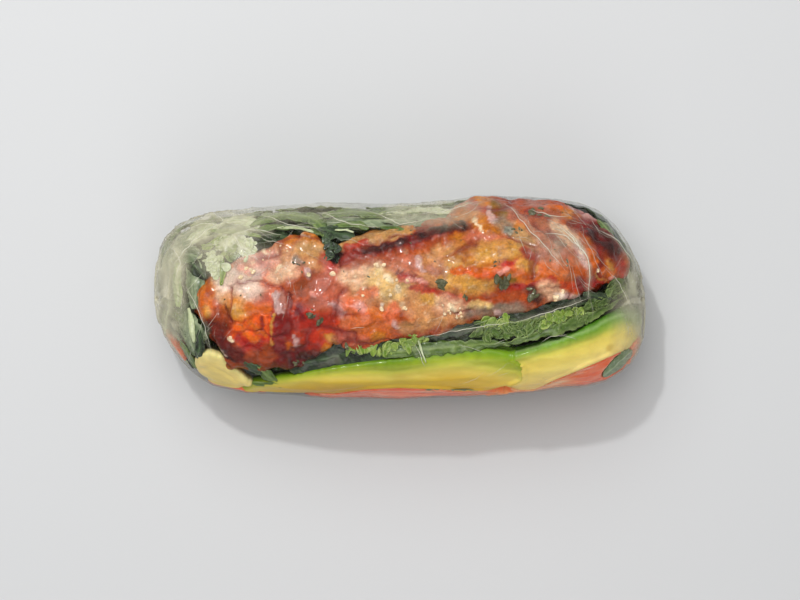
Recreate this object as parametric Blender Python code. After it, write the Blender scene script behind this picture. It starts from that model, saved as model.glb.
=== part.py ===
"""Rice paper roll: a soft clear wrap round grilled chicken, avocado, ribbons and leaves.

Units are metres, +Z is up, +X runs along the roll, and -Y is its front, where the
avocado lies. The origin is at the middle of the roll, on the surface it rests on.
Every filling is cut to the space inside the wrap, and the leaves fill what is left.
"""
import bisect
import math

import bmesh
import bpy
from mathutils import Vector, noise

MM = 0.001

# Wrap
WRAP_THICKNESS = 0.8 * MM       # two plies of soaked rice paper
GAP = 0.3 * MM                  # left between any two pieces that touch
CLEARANCE = 0.45 * MM           # how far a cutter stands out, so that facets keep the gap
ROLL_RINGS = 22
ROLL_SIDES = 26
BELLY = 0.42                    # height of the widest line, as a part of the full height
END_FOLDS = 5                   # gathers where the sheet is folded in at each end
END_FOLD_DEPTH = 0.9 * MM
END_FOLD_REACH = 12.0 * MM
LUMP_SIZE = 13.0 * MM           # the fillings' lumps, felt through the wrap
LUMP_HEIGHT = 1.3 * MM
STRONGEST_CORNER = 1.6          # limit on how much further a sharp corner moves inwards

# Lap seam of the wrap: the free edge of the sheet, low on the back
SEAM_LENGTH = 92.0 * MM
SEAM_DEPTH = 7.0 * MM
SEAM_PLACE = (0.0, 22.5 * MM, 7.5 * MM)
SEAM_TILT = math.radians(18.0)
SEAM_SLANT = math.radians(-1.5)

# Soft relief of the wrap over what it holds: a ridge over the chicken and a valley
# between the chicken and the avocado, both slanting back towards the right end
RIDGE = {"offset": 1.5 * MM, "slope": 0.17, "width": 8.0 * MM, "height": 1.8 * MM}
VALLEY = {"offset": -12.5 * MM, "slope": 0.20, "width": 4.5 * MM, "height": -2.6 * MM}


def limited_slopes(xs, ys):
    """Slopes of a smooth curve through the points that never overshoots them."""
    steps = [(ys[i + 1] - ys[i]) / (xs[i + 1] - xs[i]) for i in range(len(xs) - 1)]
    inner = [
        0.0 if a * b <= 0.0 else 2.0 * a * b / (a + b)
        for a, b in zip(steps, steps[1:])
    ]
    return [steps[0]] + inner + [steps[-1]]


def curve_through(xs, ys):
    """A function that follows the points smoothly."""
    slopes = limited_slopes(xs, ys)

    def value(x):
        i = min(max(bisect.bisect_right(xs, x) - 1, 0), len(xs) - 2)
        h = xs[i + 1] - xs[i]
        t = min(max((x - xs[i]) / h, 0.0), 1.0)
        rise = 3.0 * t**2 - 2.0 * t**3
        lead = t**3 - 2.0 * t**2 + t
        lag = t**3 - t**2
        return ys[i] + (ys[i + 1] - ys[i]) * rise + h * (slopes[i] * lead + slopes[i + 1] * lag)

    return value


def power(value, exponent):
    """Signed power, which squares up a circle."""
    return math.copysign(abs(value) ** exponent, value)


def loft(name, stations, rings, sides, ends=(3.0, 3.0), squareness=2.4, belly=0.5, shape=None):
    """A closed body along X.

    Each station is (x, front, back, low, high) in millimetres. The ends close with
    round caps: a larger number in `ends` makes a blunter one. `shape` may move a
    finished point.
    """
    xs = [station[0] * MM for station in stations]
    front, back, low, high = (
        curve_through(xs, [station[k] * MM for station in stations]) for k in range(1, 5)
    )
    middle = 0.5 * (xs[0] + xs[-1])
    half = 0.5 * (xs[-1] - xs[0])
    bm = bmesh.new()

    def place(t, angle, cap):
        x = middle + half * t
        y_mid = 0.5 * (front(x) + back(x))
        z_mid = low(x) + belly * (high(x) - low(x))
        reach = high(x) - z_mid if math.sin(angle) > 0.0 else z_mid - low(x)
        y = y_mid + cap * 0.5 * (back(x) - front(x)) * power(math.cos(angle), 2.0 / squareness)
        z = z_mid + cap * reach * power(math.sin(angle), 2.0 / squareness)
        point = Vector((x, y, z))
        return shape(point, angle) if shape else point

    loops = []
    for ring in range(1, rings):
        t = -math.cos(math.pi * ring / rings)
        blunt = ends[0] if t < 0.0 else ends[1]
        cap = (1.0 - abs(t) ** blunt) ** (1.0 / blunt)
        angles = [2.0 * math.pi * side / sides for side in range(sides)]
        loops.append([bm.verts.new(place(t, angle, cap)) for angle in angles])
    tips = [bm.verts.new(place(t, 0.0, 0.0)) for t in (-1.0, 1.0)]

    for ring, following in zip(loops, loops[1:]):
        for side in range(sides):
            beside = (side + 1) % sides
            bm.faces.new((ring[side], ring[beside], following[beside], following[side]))
    for side in range(sides):
        beside = (side + 1) % sides
        bm.faces.new((tips[0], loops[0][beside], loops[0][side]))
        bm.faces.new((tips[1], loops[-1][side], loops[-1][beside]))
    bmesh.ops.recalc_face_normals(bm, faces=bm.faces)
    mesh = bpy.data.meshes.new(name)
    bm.to_mesh(mesh)
    bm.free()
    return mesh


def material(name, colour, roughness):
    """A plain Principled material for one kind of piece."""
    mat = bpy.data.materials.new(name)
    mat.use_nodes = True
    shader = mat.node_tree.nodes["Principled BSDF"]
    shader.inputs["Base Color"].default_value = (*colour, 1.0)
    shader.inputs["Roughness"].default_value = roughness
    shader.inputs["Metallic"].default_value = 0.0
    mat.diffuse_color = (*colour, 1.0)
    return mat


def add_object(name, mesh, collection):
    obj = bpy.data.objects.new(name, mesh)
    collection.objects.link(obj)
    return obj


def add_cutter(name, mesh, collection, grow=0.0):
    """A hidden cutter, larger than the given mesh by `grow` all round."""
    obj = add_object(name, mesh, collection)
    obj.hide_render = True
    obj.display_type = "WIRE"
    if grow:
        swell = obj.modifiers.new("swell", "DISPLACE")
        swell.direction = "NORMAL"
        swell.mid_level = 0.0
        swell.strength = grow
    return obj


def boolean(obj, cutter, operation, solver="EXACT"):
    modifier = obj.modifiers.new(f"{operation.lower()} {cutter.name}", "BOOLEAN")
    modifier.operation = operation
    modifier.solver = solver
    modifier.object = cutter


def keep_largest_body(obj):
    """Fix the cuts of an object in its mesh, without the crumbs that they cut free."""
    graph = bpy.context.evaluated_depsgraph_get()
    mesh = bpy.data.meshes.new_from_object(obj.evaluated_get(graph))
    bm = bmesh.new()
    bm.from_mesh(mesh)
    unseen = set(bm.verts)
    bodies = []
    while unseen:
        body = {unseen.pop()}
        edge_of_search = list(body)
        while edge_of_search:
            vertex = edge_of_search.pop()
            beside = {edge.other_vert(vertex) for edge in vertex.link_edges} - body
            body |= beside
            edge_of_search.extend(beside)
        unseen -= body
        bodies.append(body)
    bodies.sort(key=len)
    crumbs = [vertex for body in bodies[:-1] for vertex in body]
    bmesh.ops.delete(bm, geom=crumbs, context="VERTS")
    bm.to_mesh(mesh)
    bm.free()
    mesh.name = obj.name
    obj.modifiers.clear()
    obj.data = mesh


# Outside of the wrap: x, front, back, low, high in millimetres
ROLL = [
    (-64.3, -13.0, 21.5, -1.5, 27.0),
    (-58.0, -19.0, 23.5, -1.8, 31.0),
    (-50.5, -24.8, 24.5, -2.0, 35.0),
    (-34.0, -25.2, 25.2, -2.0, 37.5),
    (-12.0, -26.4, 25.6, -2.0, 38.5),
    (6.0, -26.2, 25.8, -2.0, 39.0),
    (24.0, -25.2, 27.8, -2.0, 40.0),
    (42.0, -24.2, 27.4, -2.0, 39.0),
    (53.0, -24.0, 25.8, -2.0, 36.0),
    (59.5, -22.5, 19.0, -1.8, 32.0),
    (64.3, -18.0, 13.0, -1.5, 28.0),
]
ROLL_HALF_LENGTH = ROLL[-1][0] * MM
ROLL_ENDS = (5.0, 5.0)


def relief(x, y):
    """Height of the soft ridge and valley at a place seen from above."""
    total = 0.0
    for band in (RIDGE, VALLEY):
        across = (y - band["offset"] - band["slope"] * x) / band["width"]
        total += band["height"] * math.exp(-across**2)
    return total


def roll_shape(point, angle):
    """Soft lumps all over, relief on top, gathers at the ends and a flat underside."""
    upper = max(math.sin(angle), 0.0)
    swell = LUMP_HEIGHT * noise.noise(point / LUMP_SIZE)
    x, y, z = point + swell * Vector((0.0, math.cos(angle), math.sin(angle)))
    z += relief(x, y) * upper
    to_end = (ROLL_HALF_LENGTH - abs(x)) / END_FOLD_REACH
    if to_end < 1.0:
        fold = END_FOLD_DEPTH * (1.0 - to_end) * math.cos(END_FOLDS * angle)
        y += fold * math.cos(angle)
        z += fold * math.sin(angle)
    return Vector((x, y, max(z, 0.0)))


def roll_mesh(name, inset):
    """The roll's skin, moved inwards by `inset` everywhere."""
    mesh = loft(
        name, ROLL, ROLL_RINGS, ROLL_SIDES, ROLL_ENDS, squareness=2.5, belly=BELLY, shape=roll_shape
    )
    bm = bmesh.new()
    bm.from_mesh(mesh)
    bmesh.ops.triangulate(bm, faces=bm.faces)
    bm.normal_update()
    # The shell factor lengthens a corner's move so that its faces move by the full inset
    moves = [
        -inset * min(vertex.calc_shell_factor(), STRONGEST_CORNER) * vertex.normal
        for vertex in bm.verts
    ]
    for vertex, move in zip(bm.verts, moves):
        pressed = vertex.co.z == 0.0
        vertex.co += move
        # The pressed underside stays one level plane at every depth
        vertex.co.z = inset if pressed else max(vertex.co.z, inset)
    bm.to_mesh(mesh)
    bm.free()
    return mesh


def lumpy(size, height, seed):
    """A shape function that makes a piece uneven, as torn or grilled food is."""
    shift = Vector((seed * 3.7, seed * 1.9, seed * 5.3))

    def shape(point, angle):
        swell = noise.noise(point / size + shift)
        outwards = Vector((0.0, math.cos(angle), math.sin(angle)))
        return point + outwards * swell * height

    return shape


# Fillings, each as stations of x, front, back, low, high in millimetres. Where a
# piece lies against the wrap it starts larger than the space and is cut to it.
CHICKEN_LEFT = [
    (-53.0, -6.5, 5.0, 18.0, 34.0),
    (-48.8, -9.5, 7.0, 16.0, 38.0),
    (-44.0, -17.0, 9.5, 14.0, 41.0),
    (-39.0, -18.4, 11.5, 14.0, 43.0),
    (-32.0, -17.4, 14.0, 14.0, 44.0),
    (-25.5, -17.6, 17.0, 15.0, 45.0),
    (-21.0, -17.4, 18.2, 15.0, 45.0),
    (-16.0, -15.6, 13.5, 17.0, 45.0),
]
CHICKEN_MIDDLE = [
    (-19.0, -16.6, 13.0, 15.0, 43.0),
    (-11.0, -14.2, 13.2, 14.0, 44.0),
    (-3.0, -11.6, 12.0, 14.0, 44.0),
    (8.0, -9.2, 7.5, 15.0, 44.0),
    (19.5, -7.6, 0.5, 17.0, 43.0),
]
CHICKEN_RIGHT = [
    (-16.5, 8.5, 17.0, 19.0, 44.0),
    (-9.0, 9.0, 18.0, 17.0, 45.0),
    (1.0, 6.6, 19.0, 15.0, 45.0),
    (10.0, -0.7, 21.0, 13.0, 45.0),
    (20.0, -6.6, 27.0, 12.0, 46.0),
    (32.0, -2.4, 27.5, 12.0, 46.0),
    (44.0, -1.0, 26.5, 13.0, 45.0),
    (51.0, 1.0, 23.0, 16.0, 43.0),
    (58.5, 3.0, 14.0, 19.0, 38.0),
]
AVOCADO_LONG = [
    (-41.0, -24.6, -19.0, 16.0, 25.0),
    (-33.0, -24.4, -18.3, 14.5, 30.0),
    (-22.0, -24.2, -16.4, 13.5, 33.5),
    (-12.0, -22.8, -14.6, 13.5, 35.0),
    (2.0, -22.2, -13.0, 13.0, 36.5),
    (16.0, -22.6, -10.8, 13.0, 38.0),
    (32.0, -23.2, -9.8, 13.0, 38.0),
]
AVOCADO_RIGHT = [
    (26.0, -23.4, -11.0, 13.0, 37.0),
    (34.0, -22.6, -10.4, 13.0, 38.0),
    (40.0, -19.6, -8.8, 13.5, 38.0),
    (48.0, -16.8, -5.8, 13.5, 38.0),
    (56.0, -13.4, -1.6, 14.0, 36.0),
    (64.2, -11.6, 1.8, 15.0, 33.0),
]
AVOCADO_WEDGE = [
    (-53.0, -19.5, -12.5, 15.0, 30.0),
    (-47.5, -21.4, -12.0, 13.5, 34.0),
    (-43.0, -22.0, -16.0, 14.0, 31.0),
    (-38.0, -22.6, -20.0, 15.0, 27.0),
]
RIBBON_LEFT_END = [
    (-63.0, -14.5, -6.5, 12.0, 21.0),
    (-55.5, -19.5, -9.5, 12.0, 22.0),
]
RIBBON_LEFT = [
    (-52.0, -28.0, -19.0, 9.0, 20.0),
    (-45.0, -28.5, -19.5, 9.0, 23.0),
    (-34.0, -28.0, -21.5, 9.0, 18.0),
]
RIBBON_MIDDLE = [
    (-25.0, -29.0, -20.0, 9.0, 18.0),
    (-16.0, -30.0, -18.0, 8.0, 27.0),
    (-4.0, -30.0, -17.0, 8.0, 31.0),
    (12.0, -30.0, -17.0, 8.0, 30.0),
    (24.0, -29.5, -18.0, 8.0, 26.0),
    (32.0, -29.0, -19.5, 9.0, 19.0),
]
RIBBON_RIGHT = [
    (23.0, -29.0, -20.5, 9.0, 19.0),
    (36.0, -28.5, -15.0, 8.0, 30.0),
    (44.0, -27.5, -12.0, 8.0, 33.0),
    (52.0, -26.0, -9.5, 8.0, 33.0),
    (61.5, -22.0, -6.5, 9.0, 26.0),
]
RIBBON_RIGHT_END = [
    (57.5, -17.0, -9.5, 13.0, 22.5),
    (64.5, -16.0, -9.5, 12.5, 22.0),
]
HERB_LEAF = [
    (52.0, -23.5, -16.5, 18.0, 29.0),
    (57.0, -21.5, -13.0, 17.0, 31.0),
    (61.8, -18.5, -11.0, 17.0, 28.0),
]

# name: stations, rings, sides, ends, squareness, lump size, lump height
FILLINGS = {
    "chicken_left": (CHICKEN_LEFT, 15, 16, (2.8, 3.6), 2.8, 6.0 * MM, 1.5 * MM),
    "chicken_right": (CHICKEN_RIGHT, 17, 18, (2.6, 2.8), 2.8, 7.0 * MM, 1.3 * MM),
    "chicken_middle": (CHICKEN_MIDDLE, 12, 16, (3.0, 3.0), 2.6, 6.0 * MM, 1.3 * MM),
    "avocado_long": (AVOCADO_LONG, 13, 12, (2.2, 4.0), 2.6, 30.0 * MM, 0.6 * MM),
    "avocado_right": (AVOCADO_RIGHT, 10, 12, (4.0, 3.4), 2.6, 30.0 * MM, 0.6 * MM),
    "avocado_wedge": (AVOCADO_WEDGE, 8, 10, (3.0, 2.4), 2.6, 30.0 * MM, 0.4 * MM),
    "herb_leaf": (HERB_LEAF, 6, 10, (2.2, 2.2), 2.2, 12.0 * MM, 0.2 * MM),
    "ribbon_right_end": (RIBBON_RIGHT_END, 5, 8, (2.4, 2.6), 2.4, 12.0 * MM, 0.2 * MM),
    "ribbon_right": (RIBBON_RIGHT, 10, 10, (2.2, 2.2), 2.4, 12.0 * MM, 0.3 * MM),
    "ribbon_middle": (RIBBON_MIDDLE, 10, 10, (2.0, 2.0), 2.4, 12.0 * MM, 0.3 * MM),
    "ribbon_left": (RIBBON_LEFT, 7, 10, (2.2, 2.0), 2.4, 12.0 * MM, 0.3 * MM),
    "ribbon_left_end": (RIBBON_LEFT_END, 5, 8, (2.4, 2.4), 2.4, 12.0 * MM, 0.2 * MM),
}


def filling_mesh(name, kind):
    stations, rings, sides, ends, squareness, lump_size, lump_height = FILLINGS[kind]
    seed = list(FILLINGS).index(kind) + 1
    return loft(
        name, stations, rings, sides, ends, squareness, shape=lumpy(lump_size, lump_height, seed)
    )


def build():
    for obj in list(bpy.data.objects):
        bpy.data.objects.remove(obj, do_unlink=True)
    scene = bpy.context.scene
    parts = bpy.data.collections.new("rice_paper_roll")
    cutters = bpy.data.collections.new("cutters")
    scene.collection.children.link(parts)
    scene.collection.children.link(cutters)

    materials = {
        "rice_paper": material("rice paper", (0.78, 0.78, 0.72), 0.28),
        "chicken": material("grilled chicken", (0.42, 0.13, 0.05), 0.35),
        "avocado": material("avocado", (0.62, 0.55, 0.16), 0.45),
        "ribbon": material("pink ribbon", (0.75, 0.22, 0.12), 0.4),
        "herb": material("herb leaf", (0.10, 0.18, 0.07), 0.5),
        "greens": material("leaves", (0.16, 0.26, 0.07), 0.5),
    }

    # The wrap: a hollow skin, opened along its lap seam
    wrap = add_object("rice_paper", roll_mesh("rice_paper", 0.0), parts)
    wrap.data.materials.append(materials["rice_paper"])
    hollow = add_cutter("hollow", roll_mesh("hollow", WRAP_THICKNESS), cutters)
    boolean(wrap, hollow, "DIFFERENCE")
    bpy.ops.mesh.primitive_cube_add(size=1.0)
    seam = bpy.context.object
    seam.name = "seam_slit"
    for collection in list(seam.users_collection):
        collection.objects.unlink(seam)
    cutters.objects.link(seam)
    seam.hide_render = True
    seam.display_type = "WIRE"
    seam.scale = (SEAM_LENGTH, SEAM_DEPTH, GAP)
    seam.rotation_euler = (SEAM_TILT, SEAM_SLANT, 0.0)
    seam.location = SEAM_PLACE
    boolean(wrap, seam, "DIFFERENCE")

    # The space inside the wrap, which every filling is cut to
    space = add_cutter("filling_space", roll_mesh("filling_space", WRAP_THICKNESS + GAP), cutters)

    greens = add_object("greens", roll_mesh("greens", WRAP_THICKNESS + GAP), parts)
    greens.data.materials.append(materials["greens"])
    placed = []
    for kind in FILLINGS:
        piece = add_object(kind, filling_mesh(kind, kind), parts)
        slot = kind.split("_")[0]
        piece.data.materials.append(materials[slot])
        boolean(piece, space, "INTERSECT", "MANIFOLD")
        for other in placed:
            boolean(piece, other, "DIFFERENCE", "MANIFOLD")
        cutter = add_cutter(f"{kind}_room", filling_mesh(f"{kind}_room", kind), cutters, CLEARANCE)
        boolean(greens, cutter, "DIFFERENCE", "MANIFOLD")
        placed.append(cutter)

    keep_largest_body(greens)

    for piece in parts.objects:
        for polygon in piece.data.polygons:
            polygon.use_smooth = True


build()
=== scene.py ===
# %% [markdown]
# # A rice paper roll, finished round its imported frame
#
# The frame holds every piece of the roll at its real size: the hollow wrap and the
# fillings inside it. This lesson gives each piece its looks. The fillings come first,
# because the wrap is soft and takes its shape from what it lies on. Everything is in
# metres, and lengths below are written in millimetres times `MM`.

import math

import bmesh
import bpy
import numpy as np
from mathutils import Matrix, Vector
from mathutils.bvhtree import BVHTree


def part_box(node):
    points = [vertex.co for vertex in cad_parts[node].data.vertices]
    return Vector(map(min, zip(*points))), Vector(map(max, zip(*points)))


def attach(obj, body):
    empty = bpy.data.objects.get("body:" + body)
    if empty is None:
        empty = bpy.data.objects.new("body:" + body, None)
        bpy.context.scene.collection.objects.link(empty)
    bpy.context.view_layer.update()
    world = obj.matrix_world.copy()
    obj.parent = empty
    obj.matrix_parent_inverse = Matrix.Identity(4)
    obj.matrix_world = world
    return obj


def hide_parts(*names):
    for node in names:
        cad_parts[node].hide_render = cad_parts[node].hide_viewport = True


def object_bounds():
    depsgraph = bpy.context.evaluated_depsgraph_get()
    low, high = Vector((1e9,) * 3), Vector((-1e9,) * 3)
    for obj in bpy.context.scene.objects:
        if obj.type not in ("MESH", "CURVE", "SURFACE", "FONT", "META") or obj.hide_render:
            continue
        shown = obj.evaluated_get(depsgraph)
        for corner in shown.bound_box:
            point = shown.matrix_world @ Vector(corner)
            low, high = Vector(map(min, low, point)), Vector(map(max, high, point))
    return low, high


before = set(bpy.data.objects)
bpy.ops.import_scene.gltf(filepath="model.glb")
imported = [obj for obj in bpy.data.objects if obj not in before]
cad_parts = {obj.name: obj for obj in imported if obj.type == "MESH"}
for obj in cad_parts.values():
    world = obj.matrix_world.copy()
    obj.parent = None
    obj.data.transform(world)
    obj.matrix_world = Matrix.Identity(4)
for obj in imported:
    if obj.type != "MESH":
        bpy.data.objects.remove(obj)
CAD_LOW, CAD_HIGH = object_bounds()
MM = 0.001
BODY = "root"
print("frame:", len(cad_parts), "nodes, box", CAD_LOW, CAD_HIGH)

# %% [markdown]
# ## Reading and writing meshes as arrays
#
# Sculpting by hand moves thousands of points a little each. In a script the same is
# done with numpy: read all points of a mesh as one array, change the array, and write
# it back. `solid_copy` starts a new piece from a frame node. A node arrives as loose
# triangles, so its doubles are merged first, and the node itself is never changed.

# %% Mesh helpers
def points_of(mesh):
    flat = np.empty(len(mesh.vertices) * 3, np.float32)
    mesh.vertices.foreach_get("co", flat)
    return flat.reshape(-1, 3).astype(float)


def normals_of(mesh):
    flat = np.empty(len(mesh.vertices) * 3, np.float32)
    mesh.vertex_normals.foreach_get("vector", flat)
    return flat.reshape(-1, 3).astype(float)


def set_points(mesh, points):
    mesh.vertices.foreach_set("co", np.asarray(points, np.float32).ravel())
    mesh.update()


def add_piece(name, mesh):
    piece = bpy.data.objects.new(name, mesh)
    bpy.context.scene.collection.objects.link(piece)
    return piece


def shade_smooth(mesh):
    mesh.polygons.foreach_set("use_smooth", np.ones(len(mesh.polygons), bool))


def settle(piece):
    """Turn a piece with modifiers into a plain mesh, and drop the modifiers."""
    graph = bpy.context.evaluated_depsgraph_get()
    mesh = bpy.data.meshes.new_from_object(piece.evaluated_get(graph))
    mesh.name = piece.name
    piece.modifiers.clear()
    piece.data = mesh
    shade_smooth(mesh)
    return piece


def solid_copy(name, node, voxel, smoothing, swell=0.0):
    """A new piece with the shape of a frame node, as an even mesh with soft edges."""
    bm = bmesh.new()
    bm.from_mesh(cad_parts[node].data)
    bmesh.ops.remove_doubles(bm, verts=bm.verts, dist=1e-6)
    mesh = bpy.data.meshes.new(name)
    bm.to_mesh(mesh)
    bm.free()
    piece = add_piece(name, mesh)
    remesh = piece.modifiers.new("even mesh", "REMESH")
    remesh.mode = "VOXEL"
    remesh.voxel_size = voxel
    relax = piece.modifiers.new("soft edges", "SMOOTH")
    relax.factor = 0.5
    relax.iterations = smoothing
    settle(piece)
    set_points(piece.data, points_of(piece.data) + normals_of(piece.data) * swell)
    return piece


# %% [markdown]
# ## Noise without a texture
#
# Food is uneven at every scale: big lumps, then fibres, then grain. One smooth random
# field, read at several sizes, gives all of them. The field below is value noise: random
# numbers on a lattice, blended smoothly in between. It is seeded by a whole number, so
# the piece comes out the same each time the script runs.

# %% Noise
def lattice(i, j, k, seed):
    """A repeatable random number from -1 to 1 for each whole-number place."""
    n = (i * 374761393 + j * 668265263 + k * 1440670441 + seed * 1274126177) & 0xFFFFFFFF
    n = ((n ^ (n >> 13)) * 1103515245 + 12345) & 0xFFFFFFFF
    n = ((n ^ (n >> 16)) * 69069) & 0xFFFFFFFF
    return ((n >> 8) & 0xFFFF) / 32767.5 - 1.0


def noise(points, size, seed=0):
    """Smooth noise from about -1 to 1, with lumps about `size` across."""
    place = np.asarray(points, float) / size + 1000.0
    cell = np.floor(place).astype(np.int64)
    t = place - cell
    t = t * t * (3.0 - 2.0 * t)
    total = np.zeros(len(place))
    for corner in np.ndindex(2, 2, 2):
        weight = np.ones(len(place))
        for axis in range(3):
            weight *= t[:, axis] if corner[axis] else 1.0 - t[:, axis]
        total += weight * lattice(*(cell + corner).T, seed)
    return total


def rough(points, size, octaves, seed=0):
    """Several sizes of noise added up, each half as large and half as strong."""
    layers = [noise(points, size / 2**n, seed + 31 * n) / 2**n for n in range(octaves)]
    return sum(layers) / sum(0.5**n for n in range(octaves))


def smoothstep(value, low=0.0, high=1.0):
    t = np.clip((value - low) / (high - low), 0.0, 1.0)
    return t * t * (3.0 - 2.0 * t)


def blend(a, b, mask):
    """From a to b as the mask goes from 0 to 1."""
    mask = mask[:, None] if np.ndim(b) and np.ndim(a) == 2 else mask
    return a * (1.0 - mask) + np.asarray(b) * mask

# %% [markdown]
# ## Painting in plan
#
# Most of what the eye reads as cooked meat is patches of colour: browned edges, pale
# fat, glaze that has run. Each patch is one stroke, a short path with a width and a
# colour, laid over the strokes before it. Places are in millimetres from the middle of
# the roll, x to the right and y to the back, as seen from above. The points are first
# pushed about by noise, so every border comes out ragged. The result is kept in a
# colour attribute on the mesh, which the material reads.

# %% Painting
MIDDLE = (CAD_LOW + CAD_HIGH) / 2


def linear(colour):
    """A colour given as 0 to 255 display values, as the shader wants it."""
    c = np.asarray(colour, float) / 255.0
    return np.where(c <= 0.04045, c / 12.92, ((c + 0.055) / 1.055) ** 2.4)


def plan(points):
    """Places in millimetres from the middle of the roll, seen from above."""
    return (points[:, :2] - np.array(MIDDLE[:2])) / MM


def warp(places, sizes, seed):
    """Push places about by noise: each pair in sizes is a lump size and how far to push."""
    deep = np.column_stack([places, np.zeros(len(places))]) if places.shape[1] == 2 else places
    out = places.copy()
    for n, (size, push) in enumerate(sizes):
        for axis in range(places.shape[1]):
            out[:, axis] += push * noise(deep, size, seed + 7 * n + axis)
    return out


def from_path(places, path):
    """How far each place is from a path, in millimetres."""
    path = np.asarray(path, float)
    if len(path) == 1:
        return np.linalg.norm(places - path[0], axis=1)
    best = np.full(len(places), 1e9)
    for a, b in zip(path[:-1], path[1:]):
        along = np.clip((places - a) @ (b - a) / max((b - a) @ (b - a), 1e-9), 0, 1)
        best = np.minimum(best, np.linalg.norm(places - a - along[:, None] * (b - a), axis=1))
    return best


def stroke_mask(places, path, width, soft=0.4):
    return 1.0 - smoothstep(from_path(places, path) / width, 1.0 - soft, 1.0 + soft)


def paint(piece, colours, gloss=None):
    """Keep a colour for each point of a piece, and how wet it is, as an attribute."""
    mesh = piece.data
    wet = np.ones(len(colours)) if gloss is None else gloss
    values = np.column_stack([np.clip(colours, 0, 1), np.clip(wet, 0, 1)])
    layer = mesh.attributes.new("paint", "FLOAT_COLOR", "POINT")
    layer.data.foreach_set("color", np.asarray(values, np.float32).ravel())


# %% [markdown]
# ## Materials that read the paint
#
# Every filling is food under a wet film: a soft body, a fine grain, and a gloss that
# comes and goes. The grain is one node group with its sizes as inputs. It is placed in
# each material with that food's own values. It puts out a colour that varies, a bump
# height and a roughness. The shader itself stays in the material.

# %% A shared grain and the food materials
def link(tree, source, target):
    tree.links.new(source, target)


def maths(tree, operation, a, b=None, c=None, clamp=False):
    node = tree.nodes.new("ShaderNodeMath")
    node.operation = operation
    node.use_clamp = clamp
    for socket, value in zip(node.inputs, (a, b, c)):
        if isinstance(value, (int, float)):
            socket.default_value = value
        elif value is not None:
            link(tree, value, socket)
    return node.outputs[0]


def noise_node(tree, vector, scale, detail=3.0, roughness=0.55):
    node = tree.nodes.new("ShaderNodeTexNoise")
    node.inputs["Detail"].default_value = detail
    node.inputs["Roughness"].default_value = roughness
    if isinstance(scale, (int, float)):
        node.inputs["Scale"].default_value = scale
    else:
        link(tree, scale, node.inputs["Scale"])
    link(tree, vector, node.inputs["Vector"])
    return node.outputs["Fac"]


def make_grain():
    tree = bpy.data.node_groups.new("food_grain", "ShaderNodeTree")
    for name, kind, value in (
        ("Colour", "NodeSocketColor", (0.5, 0.5, 0.5, 1)),
        ("Position", "NodeSocketVector", (0, 0, 0)),
        ("Grain scale", "NodeSocketFloat", 900.0),
        ("Mottle scale", "NodeSocketFloat", 220.0),
        ("Contrast", "NodeSocketFloat", 0.3),
        ("Roughness low", "NodeSocketFloat", 0.2),
        ("Roughness high", "NodeSocketFloat", 0.5),
    ):
        tree.interface.new_socket(name, in_out="INPUT", socket_type=kind).default_value = value
    for name, kind in (("Colour", "NodeSocketColor"), ("Height", "NodeSocketFloat"),
                       ("Roughness", "NodeSocketFloat")):
        tree.interface.new_socket(name, in_out="OUTPUT", socket_type=kind)
    inside = tree.nodes.new("NodeGroupInput").outputs
    out = tree.nodes.new("NodeGroupOutput").inputs
    grain = noise_node(tree, inside["Position"], inside["Grain scale"], 4.0, 0.6)
    mottle = noise_node(tree, inside["Position"], inside["Mottle scale"], 3.0, 0.6)
    both = maths(tree, "ADD", maths(tree, "MULTIPLY", grain, 0.6), maths(tree, "MULTIPLY", mottle, 0.4))
    shade = maths(tree, "MULTIPLY_ADD", maths(tree, "SUBTRACT", both, 0.5), inside["Contrast"], 1.0)
    scaled = tree.nodes.new("ShaderNodeVectorMath")
    scaled.operation = "SCALE"
    link(tree, inside["Colour"], scaled.inputs[0])
    link(tree, shade, scaled.inputs["Scale"])
    link(tree, scaled.outputs[0], out["Colour"])
    link(tree, both, out["Height"])
    spread = tree.nodes.new("ShaderNodeMapRange")
    link(tree, mottle, spread.inputs["Value"])
    spread.inputs["From Min"].default_value = 0.35
    spread.inputs["From Max"].default_value = 0.65
    link(tree, inside["Roughness low"], spread.inputs["To Min"])
    link(tree, inside["Roughness high"], spread.inputs["To Max"])
    link(tree, spread.outputs["Result"], out["Roughness"])
    return tree


GRAIN = make_grain()


def grained_material(name, grain, mottle, contrast, roughness, bump, stretch=(1, 1, 1)):
    """A material with the shared grain over its paint: its bump and roughness are wired."""
    made = bpy.data.materials.new(name)
    made.use_nodes = True
    tree = made.node_tree
    shader = tree.nodes["Principled BSDF"]
    colour = tree.nodes.new("ShaderNodeAttribute")
    colour.attribute_name = "paint"
    where = tree.nodes.new("ShaderNodeTexCoord")
    turned = tree.nodes.new("ShaderNodeMapping")
    turned.inputs["Scale"].default_value = stretch
    link(tree, where.outputs["Object"], turned.inputs["Vector"])
    group = tree.nodes.new("ShaderNodeGroup")
    group.node_tree = GRAIN
    values = {"Grain scale": grain, "Mottle scale": mottle, "Contrast": contrast,
              "Roughness low": roughness[0], "Roughness high": roughness[1]}
    for socket, value in values.items():
        group.inputs[socket].default_value = value
    link(tree, colour.outputs["Color"], group.inputs["Colour"])
    link(tree, turned.outputs["Vector"], group.inputs["Position"])
    raised = tree.nodes.new("ShaderNodeBump")
    raised.inputs["Distance"].default_value = bump
    link(tree, group.outputs["Height"], raised.inputs["Height"])
    link(tree, group.outputs["Roughness"], shader.inputs["Roughness"])
    link(tree, raised.outputs["Normal"], shader.inputs["Normal"])
    return made, shader, colour, turned, group


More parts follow.
